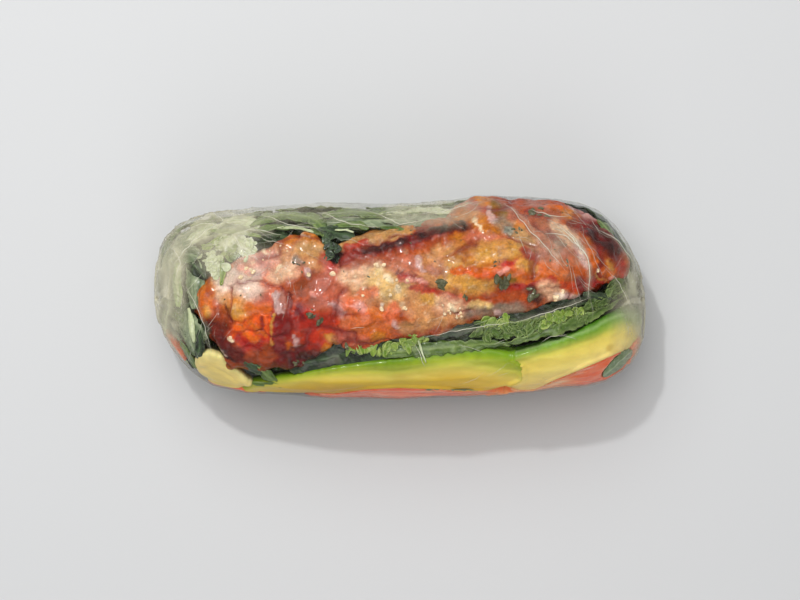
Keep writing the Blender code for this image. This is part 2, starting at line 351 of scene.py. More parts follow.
def food_material(name, coat, flesh=0.0, **grain):
    """A wet food surface: its colour is the paint, varied by the shared grain."""
    made, shader, colour, _, group = grained_material(name, **grain)
    tree = made.node_tree
    shader.inputs["IOR"].default_value = 1.45
    shader.inputs["Specular IOR Level"].default_value = 0.12
    shader.inputs["Subsurface Weight"].default_value = flesh
    shader.inputs["Subsurface Radius"].default_value = (1.0, 0.6, 0.3)
    shader.inputs["Subsurface Scale"].default_value = 2 * MM
    shader.inputs["Coat Roughness"].default_value = 0.1
    shader.inputs["Coat IOR"].default_value = 1.5
    link(tree, group.outputs["Colour"], shader.inputs["Base Color"])
    wet = maths(tree, "MULTIPLY", colour.outputs["Alpha"], coat)
    link(tree, wet, shader.inputs["Coat Weight"])
    return made


print("shared groups:", [group.name for group in bpy.data.node_groups])

# %% [markdown]
# ## Chicken
#
# The chicken is grilled thigh meat in a sticky glaze, in three long pieces. Its surface
# is torn into lobes, browned on the ridges and pale where the meat parts. Each piece is
# a copy of its frame node on an even, fine mesh. Noise moves it along its normals to
# make lobes and torn fibres, and strokes add the browned ridges and creases that can be
# picked out one by one.

# %% Chicken shapes
CHICKEN_NODES = ("chicken_left", "chicken_middle", "chicken_right")


def surface_tree(mesh):
    """A search tree of a mesh's faces, for rays and nearest points."""
    bm = bmesh.new()
    bm.from_mesh(mesh)
    tree = BVHTree.FromBMesh(bm)
    bm.free()
    return tree


def node_tree(name):
    return surface_tree(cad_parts[name].data)


def close_to(points, node, reach):
    """From 1 on a frame node's surface down to 0 at the given reach from it."""
    tree = node_tree(node)
    away = np.array([tree.find_nearest(Vector(point), 2 * reach)[3] or 2 * reach for point in points])
    return 1 - smoothstep(away / reach, 0.3, 1.0)


def meet(piece, others, push):
    """Swell a piece where it touches its neighbours, so that no open seam is left."""
    points = points_of(piece.data)
    near_them = np.maximum.reduce([close_to(points, other, 1.6 * MM) for other in others])
    lifted = normals_of(piece.data) + np.array([0, 0, 0.35])
    set_points(piece.data, points + lifted * (near_them * push)[:, None])


def torn(piece):
    """Make a smooth piece lumpy and torn, by noise that is shared by all the pieces."""
    points = warp(points_of(piece.data), [(5.5 * MM, 0.8 * MM), (2.4 * MM, 0.5 * MM)], 40)
    set_points(piece.data, points)
    out = normals_of(piece.data)
    bent = warp(points, [(4 * MM, 1.2 * MM), (1.6 * MM, 0.5 * MM)], 45)
    folds = 1 - smoothstep(np.abs(noise(bent, 6.5 * MM, 50)), 0, 0.22)
    folds *= smoothstep(noise(points, 8 * MM, 51), -0.2, 0.3)
    lumps = rough(bent, 2.4 * MM, 2, 52)
    grains = rough(bent, 1.1 * MM, 2, 53) * smoothstep(noise(points, 6 * MM, 54), -0.4, 0.3)
    move = 0.22 * lumps + 0.20 * grains - 0.5 * folds
    set_points(piece.data, points + out * (move * MM)[:, None])
    return folds


chicken = {}
for node in CHICKEN_NODES:
    piece = solid_copy(node + "_meat", node, voxel=0.4 * MM, smoothing=3, swell=0.35 * MM)
    meet(piece, [other for other in CHICKEN_NODES if other != node], push=0.7 * MM)
    chicken[node] = (piece, torn(piece))
    print(piece.name, len(piece.data.polygons), "faces")

# %% [markdown]
# ### Glaze and browning
#
# A cook sees a few tones in grilled meat: char, dark glaze, red-brown glaze, amber,
# tan, and pale pink meat. The table below holds them. The first coat mixes them by
# noise, with painted shade where the meat faces down, and the folds are darkened last
# as painted shade. Between the two, the strokes set down what is particular to each
# piece, from the largest patch to the smallest fleck; a few strokes are painted
# highlights. Tones are given as they should look through the film, which adds a little
# white to everything. `under_film` takes that white away again.

# %% Chicken colours
TONE = {
    "char": (56, 16, 18), "night": (58, 42, 46), "maroon": (90, 32, 32), "wine": (126, 32, 20),
    "deep": (170, 42, 18), "red": (172, 56, 34), "ember": (188, 66, 20), "scarlet": (212, 82, 38),
    "blaze": (232, 102, 24), "rust": (166, 82, 48), "orange": (208, 108, 46), "amber": (200, 126, 62),
    "gold": (204, 150, 82), "ochre": (186, 144, 96), "tan": (204, 146, 100), "brown": (142, 78, 46),
    "salmon": (214, 118, 84), "rose": (194, 108, 90), "mauve": (174, 114, 98), "plum": (112, 58, 64),
    "lilac": (202, 166, 160), "peach": (226, 178, 144), "pink": (230, 156, 142),
    "coral": (226, 116, 84), "cream": (240, 218, 182), "white": (238, 218, 198),
    "shell": (244, 216, 196), "straw": (226, 188, 124), "ash": (136, 122, 108),
    "teal": (122, 128, 118), "olive": (126, 102, 56),
}
FILM_WHITE = 0.02                     # the film adds this much light to every colour
DARKEST = 0.004                       # no food is blacker than this
GLOSS_ADDS = (0.01, 0.018, 0.022)     # and the wet glaze adds this much to the meat


def under_film(colour):
    """The food's own colour, from how it should look through the film."""
    return np.clip(linear(colour) - FILM_WHITE, DARKEST, 1.0)


def meat(name):
    """A tone of the chicken, less what the glaze's own gloss adds to it."""
    return np.clip(under_film(TONE[name]) * (0.98, 1.0, 1.0) - GLOSS_ADDS, DARKEST, 1.0)


# tone, half width, raised height, then the path, all in millimetres
CHICKEN_STROKES = (
    # the left piece: pale meat at its back, deep glaze along its front
    ("mauve", 8.0, 0, (-41, 4), (-27, 8)), ("rust", 4.5, 0, (-30, 0), (-20, 0)),
    ("ember", 7.0, 0, (-41, -8), (-20, -7)), ("maroon", 4.4, 0, (-44, -13), (-34, -16), (-22, -15)),
    ("tan", 3.4, 0.2, (-30, 10.4), (-21, 10)), ("pink", 2.6, 0.1, (-36.4, 9.8), (-33.4, 9.4)),
    ("lilac", 1.6, 0.2, (-42.6, 7), (-41.6, 5.8)),
    ("shell", 3.6, 0.3, (-44, 4.4), (-40, 2.2), (-37.6, 4.4)),
    ("peach", 1.6, 0.2, (-45.6, 0.4), (-40, -1)), ("pink", 0.8, 0.3, (-39.8, 7.8), (-38.2, 6.6)),
    ("lilac", 0.9, 0.2, (-37, 6), (-34.6, 6)), ("coral", 2.2, 0, (-33.6, 4.6), (-32, 2.6)),
    ("orange", 0.6, 0.2, (-43.6, 8.6), (-42.4, 8.2)), ("ash", 1.1, 0, (-26.4, 9.4), (-25.4, 8.4)),
    ("amber", 1.7, 0.3, (-28.4, 15), (-25.8, 16.6), (-22, 15)),
    ("orange", 0.9, 0.3, (-27.8, 16.4), (-26.6, 17.2)),
    ("cream", 0.4, 0.2, (-25, 15.6), (-23.4, 15.6)), ("ochre", 2.0, 0, (-24, 12.4), (-20, 12)),
    ("cream", 0.45, 0.2, (-29.8, 5.6), (-26.8, 7.6)), ("rust", 2.0, 0, (-25.4, 6.4), (-22, 4.8)),
    ("rust", 3.2, 0, (-28, 3), (-21, 0.6)), ("lilac", 0.6, 0.2, (-23.6, 7.2), (-22.9, 5)),
    ("peach", 2.0, 0.1, (-31.4, 5.6), (-27.6, 6.8)),
    ("amber", 2.0, 0.5, (-49.2, 5.2), (-48.6, 2.6)),
    ("orange", 2.2, 0.3, (-49.6, 0.4), (-49.2, -4)), ("gold", 0.9, 0.2, (-49, -2.6), (-48.6, -4.4)),
    ("rust", 0.8, 0, (-48.8, 5.8), (-48.4, 1)), ("amber", 3.2, 0.3, (-42, -2), (-40.2, -4)),
    ("gold", 1.4, 0.2, (-42, -3.2), (-40, -4)), ("orange", 1.7, 0.2, (-38, -2), (-33.8, -2.8)),
    ("maroon", 0.5, -0.3, (-44, -1.6), (-43.6, -5), (-41, -6.6), (-38, -5.4)),
    ("brown", 1.8, -0.3, (-45.4, -4.4), (-45, -7)),
    ("maroon", 2.8, -0.2, (-47.8, -7.6), (-44.6, -11)),
    ("blaze", 3.2, 0.2, (-40, -8.6), (-35.4, -6.6)), ("ember", 1.6, 0.1, (-39, -12), (-35, -11)),
    ("orange", 0.8, 0.2, (-40.6, -7), (-36.8, -10.6)),
    ("orange", 0.6, 0.2, (-38, -6.2), (-34.4, -9.8)), ("deep", 1.0, 0, (-41, -9.8), (-38.4, -11.6)),
    ("cream", 0.5, 0.3, (-43, -10), (-42.3, -10.6)),
    ("char", 1.3, -0.3, (-46.8, -13.6), (-43, -16.4)),
    # the thin lilac stroke below is a painted glint on the dark glaze
    ("lilac", 0.35, 0.3, (-45.8, -13.2), (-44.4, -14.2)),
    ("rust", 0.7, 0.4, (-44.6, -15.6), (-42.4, -17)),
    ("rust", 1.8, 0.1, (-37.6, -15), (-34.6, -15.4)), ("rust", 1.2, 0, (-34, -13), (-32.4, -14.6)),
    ("wine", 1.6, -0.2, (-30.6, -4.4), (-30.4, -10), (-31, -15)),
    ("mauve", 1.5, 0.2, (-30.2, 0.6), (-30, -3)), ("white", 0.35, 0.2, (-31.8, 0.6), (-31.6, -1)),
    ("maroon", 0.6, -0.3, (-28, 1), (-27.8, -2.3)),
    ("wine", 2.2, 0, (-30, -4.6), (-29.4, -9), (-30, -14)),
    ("ember", 2.4, 0.1, (-24.4, -5), (-22, -11)), ("lilac", 0.8, 0.2, (-31.8, 1), (-30.8, -2.8)),
    ("lilac", 0.55, 0.2, (-26.6, -9.4), (-26, -12)),
    ("rust", 1.2, 0.1, (-34, -12.4), (-32.6, -14.6)),
    ("orange", 0.9, 0, (-28.2, -12), (-27.2, -12.4)),
    ("maroon", 2.6, -0.3, (-28, -15), (-22, -15.4)), ("char", 1.2, -0.2, (-27, -16.4), (-22, -16)),
    ("wine", 0.5, -0.3, (-34.8, -5), (-35.2, -8)), ("plum", 1.0, -0.1, (-25.4, -2.4), (-24.6, -5)),
    ("gold", 0.3, 0.4, (-31.9, -4.1), (-32.5, -7.3), (-32.5, -11.6)),
    ("brown", 2.4, 0, (-24.6, 2.6), (-20.4, 3.2), (-20, -1)),
    ("red", 2.2, 0, (-18.6, 9.6), (-16.6, 8)), ("pink", 0.6, 0.2, (-22.6, 1.6), (-21.8, 0.8)),
    ("cream", 0.4, 0.2, (-34.4, 12), (-33.6, 11.4)), ("cream", 0.35, 0.2, (-31, 7), (-30.4, 8)),
    # the middle piece: a charred ridge at its back, pale torn meat on top
    ("tan", 7.0, 0, (-8, 4), (8, 8)), ("orange", 4.6, 0, (-14, -5), (-6, -7)),
    ("ochre", 2.4, 0.2, (-15.4, 13.6), (-6, 15.6), (1, 16.6)),
    ("rose", 4.0, 0, (-18, 3), (-16, -0.6)), ("peach", 2.4, 0.2, (-14, 9.4), (-8, 9.4)),
    ("peach", 2.8, 0.1, (-13.6, 6.2), (-10.4, 5.2)),
    ("red", 2.0, 0, (-16, 9.8), (-4, 11.8), (6, 15.6), (14, 16.6)),
    ("red", 0.8, 0.3, (-14, 12.6), (-8.6, 13.8)),
    ("rust", 2.6, 0.2, (8, 20), (13, 21.4), (18, 22.4)),
    ("amber", 0.7, 0.3, (16.4, 19.4), (17.6, 19.2)),
    ("rose", 3.0, 0, (-2, 9.4), (1.6, 11), (2.6, 8)),
    ("amber", 1.2, 0.2, (9.6, 15.4), (14.6, 15.8)), ("rust", 0.5, 0, (10, 14.2), (14.6, 14.4)),
    ("tan", 2.8, 0.1, (10.6, 11.4), (17, 11.6)), ("gold", 2.2, 0.1, (13.4, 9.8), (19, 10)),
    ("orange", 0.9, 0, (3.8, 12.2), (6.4, 12.6)), ("cream", 1.2, 0.3, (-6.2, 8.8), (-5, 7.8)),
    # the cream stroke below is a painted highlight
    ("cream", 0.6, 0.2, (0.7, 12.4), (1.6, 11.8)),
    ("lilac", 0.6, 0.3, (4.7, 10.5), (4.5, 8.4), (5.8, 6.9)),
    ("mauve", 1.4, 0, (7.6, 7.4), (10, 6.4)), ("straw", 3.4, 0.3, (-5.4, 4.4), (-1.4, 1.6)),
    ("cream", 0.7, 0.3, (-0.8, 3.6), (-0.2, 2.2)), ("cream", 0.6, 0.3, (-3.4, 5.6), (-2.2, 4.6)),
    ("white", 0.5, 0.3, (-9, 2.3)), ("white", 0.4, 0.3, (-11, 0.7)),
    ("coral", 1.5, 0.1, (-9.6, 0.8), (-6.8, 1.4)), ("coral", 1.4, 0, (-12.4, -1), (-8.6, -3.8)),
    # the pink stroke below is a painted highlight
    ("pink", 0.9, 0.4, (-11.2, -1.8), (-9.2, -3)), ("lilac", 1.0, 0.2, (-16.4, -2.6), (-15, -3.6)),
    ("white", 0.6, 0.3, (-4.6, -1.8)), ("cream", 0.6, 0.3, (0.8, -1.6), (0.8, -2.6)),
    ("coral", 1.4, 0.1, (-1.2, -2.4), (-3, -4.8)), ("ember", 2.2, 0, (-18, -6), (-15.4, -9)),
    ("salmon", 1.2, 0.3, (-14, -6), (-8, -5.8)), ("lilac", 0.7, 0.3, (-1.8, -6), (-0.8, -7.2)),
    ("tan", 3.2, 0.2, (3.6, -1.6), (7, -3.6)), ("gold", 1.4, 0.2, (6, 0.2), (9, -0.6)),
    ("plum", 0.7, -0.2, (-0.4, 6.6), (3.6, 5.2)), ("red", 0.9, 0, (0.6, 5.6), (6, 3.6)),
    ("pink", 0.5, 0.3, (1.6, 4.6), (6.4, 4)), ("red", 0.8, -0.2, (3, 2.4), (8, 2), (13.4, 0.2)),
    ("coral", 0.7, 0, (15.2, 0.5)), ("gold", 2.2, 0.1, (12, 4.4), (19, 3)),
    ("peach", 2.4, 0.3, (11, -1.4), (15.4, -3)), ("cream", 0.7, 0.3, (12.6, -2), (13.6, -3)),
    ("white", 0.45, 0.3, (15, -4.4), (16.2, -4.8)),
    ("tan", 1.5, 0.1, (1, -7.4), (8, -6.4), (16, -5.4)),
    ("gold", 0.9, 0.5, (-18.2, -9.8), (-16, -11)),
    ("amber", 1.4, 0.5, (-18.6, -13), (-16.6, -14.4)),
    ("rose", 2.2, 0.2, (-14.6, -10), (-10, -11.4)), ("amber", 0.9, 0.4, (-7, -9.4), (-4.6, -9.8)),
    ("rust", 0.8, -0.2, (-14, -13), (-6, -12)), ("lilac", 0.5, 0.2, (-17.8, -1.6), (-17.2, -2.4)),
    ("rust", 2.0, 0.3, (-13, 9), (-5, 10.6), (4, 13.8), (12, 15.8)),
    ("rust", 0.7, 0.3, (4, 13.4), (12, 15.8)),
    # the right piece: tan meat, an orange sliver, a dark end
    ("amber", 5.0, 0, (18, 18), (20, 12)), ("mauve", 5.4, 0, (33, 18), (42, 11)),
    ("rust", 4.0, 0, (32, 24), (48, 21)), ("orange", 3.4, 0, (32, 6.4), (46, 6.2)),
    ("rust", 6.0, 0, (49, 8), (54, 8)), ("amber", 1.3, 0.3, (20, 25.2), (23.6, 25)),
    ("red", 1.1, 0, (18, 23.4), (21, 22.8)), ("mauve", 1.5, 0.3, (25, 25), (30.6, 19.4)),
    ("olive", 1.5, 0, (24.2, 23.6), (26.4, 21.6)), ("lilac", 0.8, 0.2, (22.4, 23), (23.8, 19.6)),
    ("ash", 1.6, 0.2, (25.6, 19.4), (28, 17.6)), ("teal", 0.9, 0.2, (27, 17.4), (28.6, 17)),
    ("amber", 1.1, 0, (29.8, 18.6), (31.4, 17.8)), ("cream", 0.5, 0.2, (19.2, 20.4), (20.6, 17.4)),
    ("rose", 1.7, 0, (18, 15.6), (26, 14.4)), ("gold", 2.5, 0.3, (20.6, 12), (28.4, 12.4)),
    ("ochre", 2.2, 0, (31, 15.4), (33, 12.6)), ("plum", 1.3, 0, (38.8, 17.2), (40.8, 14)),
    ("red", 1.2, 0, (31.6, 12), (33.4, 10.6)), ("wine", 0.6, -0.2, (32.4, 22.4), (38.6, 20.4)),
    ("mauve", 1.3, 0.1, (33.6, 24.8), (37.6, 23.4)), ("orange", 0.9, 0.2, (38.4, 23.4), (44, 23)),
    ("lilac", 2.0, 0.1, (45.6, 23.6), (48.6, 20.6)),
    ("amber", 1.3, 0.3, (42.4, 21.6), (45.2, 20.8)), ("peach", 1.6, 0.1, (39.4, 18.8), (44, 14.4)),
    ("lilac", 1.1, 0.1, (44.6, 14), (47, 8.6)), ("wine", 1.7, 0, (44.8, 19.6), (49.6, 17.6)),
    ("maroon", 0.6, 0.2, (50, 14), (52.6, 12.6)), ("orange", 1.2, 0.3, (48.4, 12), (48.8, 8.4)),
    ("wine", 0.8, -0.2, (50.6, 12), (51, 6)), ("orange", 2.0, 0.3, (54, 10.6), (53.6, 7.4)),
    # the gold stroke below is a painted highlight
    ("gold", 0.8, 0.2, (53, 9.4), (53.6, 8.2)), ("red", 1.4, 0.2, (56, 9), (57.2, 6.6)),
    # the pink and white strokes below are painted glints
    ("pink", 0.6, 0.2, (53.8, 5.6), (55.2, 3.8)), ("white", 0.45, 0.4, (50.3, 7)),
    ("gold", 0.3, 0.3, (49.9, 5.9), (55.2, 2.5)), ("deep", 1.8, 0, (48.8, 3.4), (54.4, 2.2)),
    ("blaze", 1.0, 0.4, (13.8, 6.7), (24.4, 6.6)), ("orange", 0.5, 0.3, (14, 7.2), (24, 7.1)),
    ("coral", 1.2, 0.2, (24.8, 6.8), (28.6, 8.4)), ("pink", 0.6, 0.3, (25, 6.2), (27.4, 7.4)),
    ("red", 0.6, 0.1, (26, 8.4), (29.6, 9.2)), ("gold", 1.4, 0.2, (30.4, 8.6), (33.6, 7.6)),
    ("olive", 0.9, 0, (24.4, 4.4), (29, 4.6)), ("gold", 1.6, 0.2, (17, 4), (22.6, 3)),
    ("red", 0.8, 0, (26, 1.6), (32, 2.8), (39, 5)), ("rust", 2.2, 0, (24, 0), (32, -0.6)),
    ("night", 1.3, -0.3, (33, 1.8), (35, -0.2)), ("peach", 2.2, 0.3, (37, 2.6), (40.6, 1)),
    ("white", 0.9, 0.3, (39.8, 0.6), (41.6, 0)), ("scarlet", 1.1, 0, (41.6, 3.6), (44.4, 2.8)),
    ("plum", 1.2, 0, (45.6, 4), (47, 1)), ("lilac", 1.0, 0.1, (42.6, 0.6), (46.6, -0.2)),
    ("ash", 1.6, 0, (18, -3.4), (30, -2.8)), ("straw", 1.0, 0.2, (18.4, -1.4), (22.2, -1.8)),
    # the lilac stroke below is a painted glint
    ("lilac", 0.7, 0.2, (24.2, -3.8), (26.8, -4.2)),
    # the charred ridge along the back, and the charred end
    ("wine", 1.4, 0.2, (-15.4, 10), (-8, 11.6), (-1, 13.5), (5, 15.7), (11, 17.1), (17.6, 18.5)),
    ("char", 1.0, 0.2, (-9, 11.5), (-1, 13.7), (5, 15.9), (11, 17.3), (16.6, 18.3)),
    ("wine", 3.0, 0, (48.6, 17.4), (52, 15.4), (54.6, 12.4)),
    ("char", 2.1, 0.2, (49.6, 16.6), (52.4, 14.8), (54.4, 12)),
)


def base_coat(points, out, seed):
    """Glaze and meat tones mixed by noise, with painted shade: redder and darker where the meat faces
    down.
    """
    bent = warp(points, [(5 * MM, 1.5 * MM), (1.8 * MM, 0.6 * MM)], seed)
    big = rough(bent, 9 * MM, 3, seed + 3)
    fine = rough(bent, 2.2 * MM, 3, seed + 4)
    coat = np.tile(meat("rust"), (len(points), 1))
    coat = blend(coat, meat("amber"), smoothstep(big + 0.35 * fine, 0.0, 0.5))
    coat = blend(coat, meat("tan"), smoothstep(fine - big, 0.15, 0.7) * 0.7)
    coat = blend(coat, meat("wine"), smoothstep(-big + 0.4 * fine, 0.2, 0.7) * 0.8)
    # painted shade: the red tone laid on walls that face down
    coat = blend(coat, meat("red"), smoothstep(-out[:, 2], -0.35, 0.5) * 0.5)
    return coat


def colour_chicken(piece, fold_shade, seed):
    points = points_of(piece.data)
    out = normals_of(piece.data)
    coat = base_coat(points, out, seed)
    bent = warp(points / MM, [(3.2, 0.55), (1.4, 0.45), (0.7, 0.3)], seed + 20)
    places = bent[:, :2] - np.array(MIDDLE[:2]) / MM
    lift = np.zeros(len(points))
    # strokes fade out on walls that face down, where the meat keeps its first coat and the painted
    # shade in it
    facing = smoothstep(out[:, 2], -0.35, 0.15)
    streaky = 0.80 + 0.20 * rough(bent * np.array([1, 0.6, 1]), 1.5, 3, seed + 7)
    for tone, width, raised, *path in CHICKEN_STROKES:
        mask = stroke_mask(places, path, width, 0.35 if width < 0.9 else 0.5) * facing
        coat = blend(coat, meat(tone), mask * np.clip(streaky, 0, 1))
        lift += mask * raised * MM
    # streaks at a finer scale than any stroke, and cream dots on pale meat that are painted glints
    fine = rough(bent, 1.0, 3, seed + 9)
    coat = coat * (1 + 0.42 * fine)[:, None]
    hue = rough(bent, 1.8, 2, seed + 12)
    coat = coat * np.column_stack([1 + 0.04 * hue, 1 + 0.16 * hue, 1 + 0.18 * hue])
    pale = smoothstep(coat[:, 1], 0.08, 0.35)
    # painted glints: cream dots on the pale meat
    glint_flecks = smoothstep(noise(bent, 0.75, seed + 15), 0.45, 0.8)
    coat = blend(coat, meat("cream"), 0.55 * glint_flecks * pale)
    pits = smoothstep(noise(bent, 0.8, seed + 17), 0.5, 0.85)
    coat = blend(coat, meat("brown"), 0.5 * pits * (1 - 0.5 * pale))
    # painted shade: the sunken folds darkened with the wine tone
    coat = blend(coat, meat("wine"), np.clip(fold_shade, 0, 1) * 0.75)
    # the fine grain is raised where it was painted lighter, so its lighter tops are painted highlights
    set_points(piece.data, points + out * (lift * 0.7 + fine * 0.09 * MM)[:, None])
    return coat


GLAZE = food_material("glazed_chicken", coat=0.8, flesh=0.02, grain=1900, mottle=420,
                      contrast=2.0, roughness=(0.24, 0.5), bump=0.22 * MM)
for node in CHICKEN_NODES:
    piece, fold_shade = chicken[node]
    coat = colour_chicken(piece, fold_shade, 200)
    dark = 1 - smoothstep(coat.mean(axis=1), 0.05, 0.4)
    paint(piece, coat, 0.52 - 0.08 * dark)
    piece.data.materials.append(GLAZE)
    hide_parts(node)
    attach(piece, BODY)
    print(piece.name, "mean colour", np.round(coat.mean(axis=0), 3))

# %% [markdown]
# ### Herb bits and garlic
#
# Chopped herb and garlic stick to the glaze. Copying a bit by hand to every place works
# for a few. Geometry Nodes suit many: one small tree puts a copy of a bit on each point,
# turned and sized by values kept on that point. The places are a table of spots, each
# with a seeded scatter round it, and rays from above find the meat under them.

# %% Herb bits and garlic
def bit_mesh(name, shape, seed):
    """A small torn lump: a rounded ball, flattened to a shape and pulled about by noise."""
    bm = bmesh.new()
    bmesh.ops.create_icosphere(bm, subdivisions=2, radius=1.0)
    mesh = bpy.data.meshes.new(name)
    bm.to_mesh(mesh)
    bm.free()
    points = points_of(mesh)
    points = points * (1 + 0.35 * rough(points, 0.9, 3, seed))[:, None] * np.array(shape) * MM
    set_points(mesh, points + np.array([0, 0, 0.3 * MM]) * (points[:, :1] / (shape[0] * MM)) ** 2)
    shade_smooth(mesh)
    return mesh


def value_input(tree, name, kind):
    reader = tree.nodes.new("GeometryNodeInputNamedAttribute")
    reader.data_type = kind
    reader.inputs["Name"].default_value = name
    return reader.outputs["Attribute"]


def new_tree(name, sockets):
    """A Geometry Nodes tree with a geometry in and out, and the named inputs given."""
    tree = bpy.data.node_groups.new(name, "GeometryNodeTree")
    tree.interface.new_socket("Geometry", in_out="INPUT", socket_type="NodeSocketGeometry")
    for label, kind in sockets:
        tree.interface.new_socket(label, in_out="INPUT", socket_type=kind)
    tree.interface.new_socket("Geometry", in_out="OUTPUT", socket_type="NodeSocketGeometry")
    return tree, tree.nodes.new("NodeGroupInput").outputs, tree.nodes.new("NodeGroupOutput").inputs


def finish_tree(tree, geometry, material, out):
    """Every tree ends the same way: instances made real, then the material set."""
    real = tree.nodes.new("GeometryNodeRealizeInstances")
    link(tree, geometry, real.inputs[0])
    coated = tree.nodes.new("GeometryNodeSetMaterial")
    link(tree, real.outputs[0], coated.inputs["Geometry"])
    link(tree, material, coated.inputs["Material"])
    link(tree, coated.outputs[0], out["Geometry"])


def run_tree(piece, tree, values):
    """Put a tree on a piece with its inputs set, and keep the result as a plain mesh."""
    modifier = piece.modifiers.new(tree.name, "NODES")
    modifier.node_group = tree
    for socket in tree.interface.items_tree:
        if socket.in_out == "INPUT" and socket.name in values:
            modifier[socket.identifier] = values[socket.name]
    return settle(piece)


ABOVE = 0.1                    # rays from above start at this height, in metres
DOWN = Vector((0, 0, -1))
SPRINKLE, inside, out = new_tree("sprinkle", (
    ("Bit", "NodeSocketObject"), ("Size", "NodeSocketFloat"), ("Material", "NodeSocketMaterial")))
bit = SPRINKLE.nodes.new("GeometryNodeObjectInfo")
link(SPRINKLE, inside["Bit"], bit.inputs["Object"])
placed = SPRINKLE.nodes.new("GeometryNodeInstanceOnPoints")
link(SPRINKLE, inside["Geometry"], placed.inputs["Points"])
link(SPRINKLE, bit.outputs["Geometry"], placed.inputs["Instance"])
link(SPRINKLE, value_input(SPRINKLE, "turn", "FLOAT_VECTOR"), placed.inputs["Rotation"])
link(SPRINKLE, maths(SPRINKLE, "MULTIPLY", value_input(SPRINKLE, "size", "FLOAT"), inside["Size"]),
     placed.inputs["Scale"])
finish_tree(SPRINKLE, placed.outputs["Instances"], inside["Material"], out)

# x, y, how many, how far they stray, size; lengths in millimetres
HERB_SPOTS = (
    (10.8, 3.4, 5, 0.45, 1.3), (26.6, 4.4, 8, 1.1, 1.3), (-22.6, -4.4, 4, 0.35, 1.1),
    (-20.3, -5.7, 3, 0.3, 1.0), (16.2, 0.4, 2, 0.3, 0.6), (33.6, 22.4, 5, 0.6, 1.0),
    (37.2, 21.6, 3, 0.7, 0.9), (-13.6, -13.4, 6, 0.7, 0.8), (42.4, 8.3, 5, 0.8, 0.4),
    (24.6, 9.3, 4, 0.7, 0.4), (-26.4, -16.4, 6, 1.4, 0.6), (30.2, 17.2, 4, 0.6, 0.7),
    (34, 0.6, 5, 0.9, 1.2), (-25.8, 9, 5, 0.8, 0.5), (2, 16.2, 6, 4.0, 0.4), (-6, 3, 12, 12.0, 0.3),
    (-36, -2, 8, 8.0, 0.3), (40, 10, 8, 8.0, 0.3),
)
GARLIC_SPOTS = (
    (-17, 6.2, 1, 0.0, 1.5), (50.3, 7, 1, 0.0, 0.6), (-4.5, -1.9, 3, 0.5, 0.6),
    (-23.2, 6.1, 1, 0.2, 0.7), (-9, 2.3, 2, 0.5, 0.5), (0.8, -2, 2, 0.5, 0.6),
    (15.4, -4.4, 4, 0.9, 0.5), (-42.6, -10.2, 1, 0.3, 0.6), (-33.6, 11.8, 6, 1.6, 0.45),
    (40.4, 0.4, 6, 1.2, 0.7), (-38.6, 7.4, 5, 1.0, 0.7), (12.6, -2.6, 6, 1.4, 0.5),
    (-5.4, 8, 4, 0.7, 0.7), (-1, 3, 6, 1.5, 0.5),
)
MEAT_TREES = [surface_tree(chicken[node][0].data) for node in CHICKEN_NODES]
HERB_BITS = food_material("herb_bits", coat=0.4, grain=2500, mottle=600,
                          contrast=1.2, roughness=(0.3, 0.55), bump=0.05 * MM)
rng = np.random.default_rng(5)


def sprinkle(name, spots, shape, tones, material):
    """A piece made of bits scattered round each spot, resting on the meat."""
    places, sizes, turns = [], [], []
    for x, y, count, stray, size in spots:
        for _ in range(count):
            spot = np.array(MIDDLE[:2]) + (np.array([x, y]) + rng.normal(0, stray, 2)) * MM
            hits = [tree.ray_cast(Vector((*spot, ABOVE)), DOWN) for tree in MEAT_TREES]
            hits = [hit[0] for hit in hits if hit[0] is not None and hit[1].z > 0.4]
            if not hits:
                continue
            places.append(max(hits, key=lambda hit: hit.z) + Vector((0, 0, 0.08 * MM)))
            sizes.append(size * rng.uniform(0.7, 1.25))
            tilt = (rng.uniform(-0.3, 0.3), rng.uniform(-0.3, 0.3))
            turns.append((*tilt, rng.uniform(0, 2 * math.pi)))
    mesh = bpy.data.meshes.new(name)
    mesh.from_pydata(places, [], [])
    mesh.attributes.new("size", "FLOAT", "POINT").data.foreach_set("value", sizes)
    mesh.attributes.new("turn", "FLOAT_VECTOR", "POINT").data.foreach_set("vector", np.ravel(turns))
    source = add_piece(name + "_source", bit_mesh(name + "_source", shape, 90))
    piece = add_piece(name, mesh)
    run_tree(piece, SPRINKLE, {"Bit": source, "Size": 1.0, "Material": material})
    bpy.data.objects.remove(source)
    shade = 0.5 + 0.5 * rough(points_of(piece.data) / MM, 0.7, 3, 95)
    dark, light = (under_film(tone) for tone in tones)
    paint(piece, blend(np.tile(dark, (len(shade), 1)), light, shade))
    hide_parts(*CHICKEN_NODES)
    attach(piece, BODY)
    print(piece.name, len(places), "bits,", len(piece.data.polygons), "faces")


sprinkle("chopped_herb", HERB_SPOTS, shape=(0.95, 0.5, 0.14),
         tones=((48, 50, 38), (122, 120, 88)), material=HERB_BITS)
sprinkle("chopped_garlic", GARLIC_SPOTS, shape=(0.8, 0.66, 0.3),
         tones=((232, 190, 130), (246, 228, 196)), material=GLAZE)

# %% [markdown]
# ## Avocado
#
# A slice of avocado is green where the skin was, then fades through lime to buttery
# yellow. The skin side of each slice lies along its back edge here, so the colour
# follows the distance from that edge. The edge is measured from the mesh itself, in
# steps along the slice. A few pale and dark streaks run lengthways, as the knife left
# them.

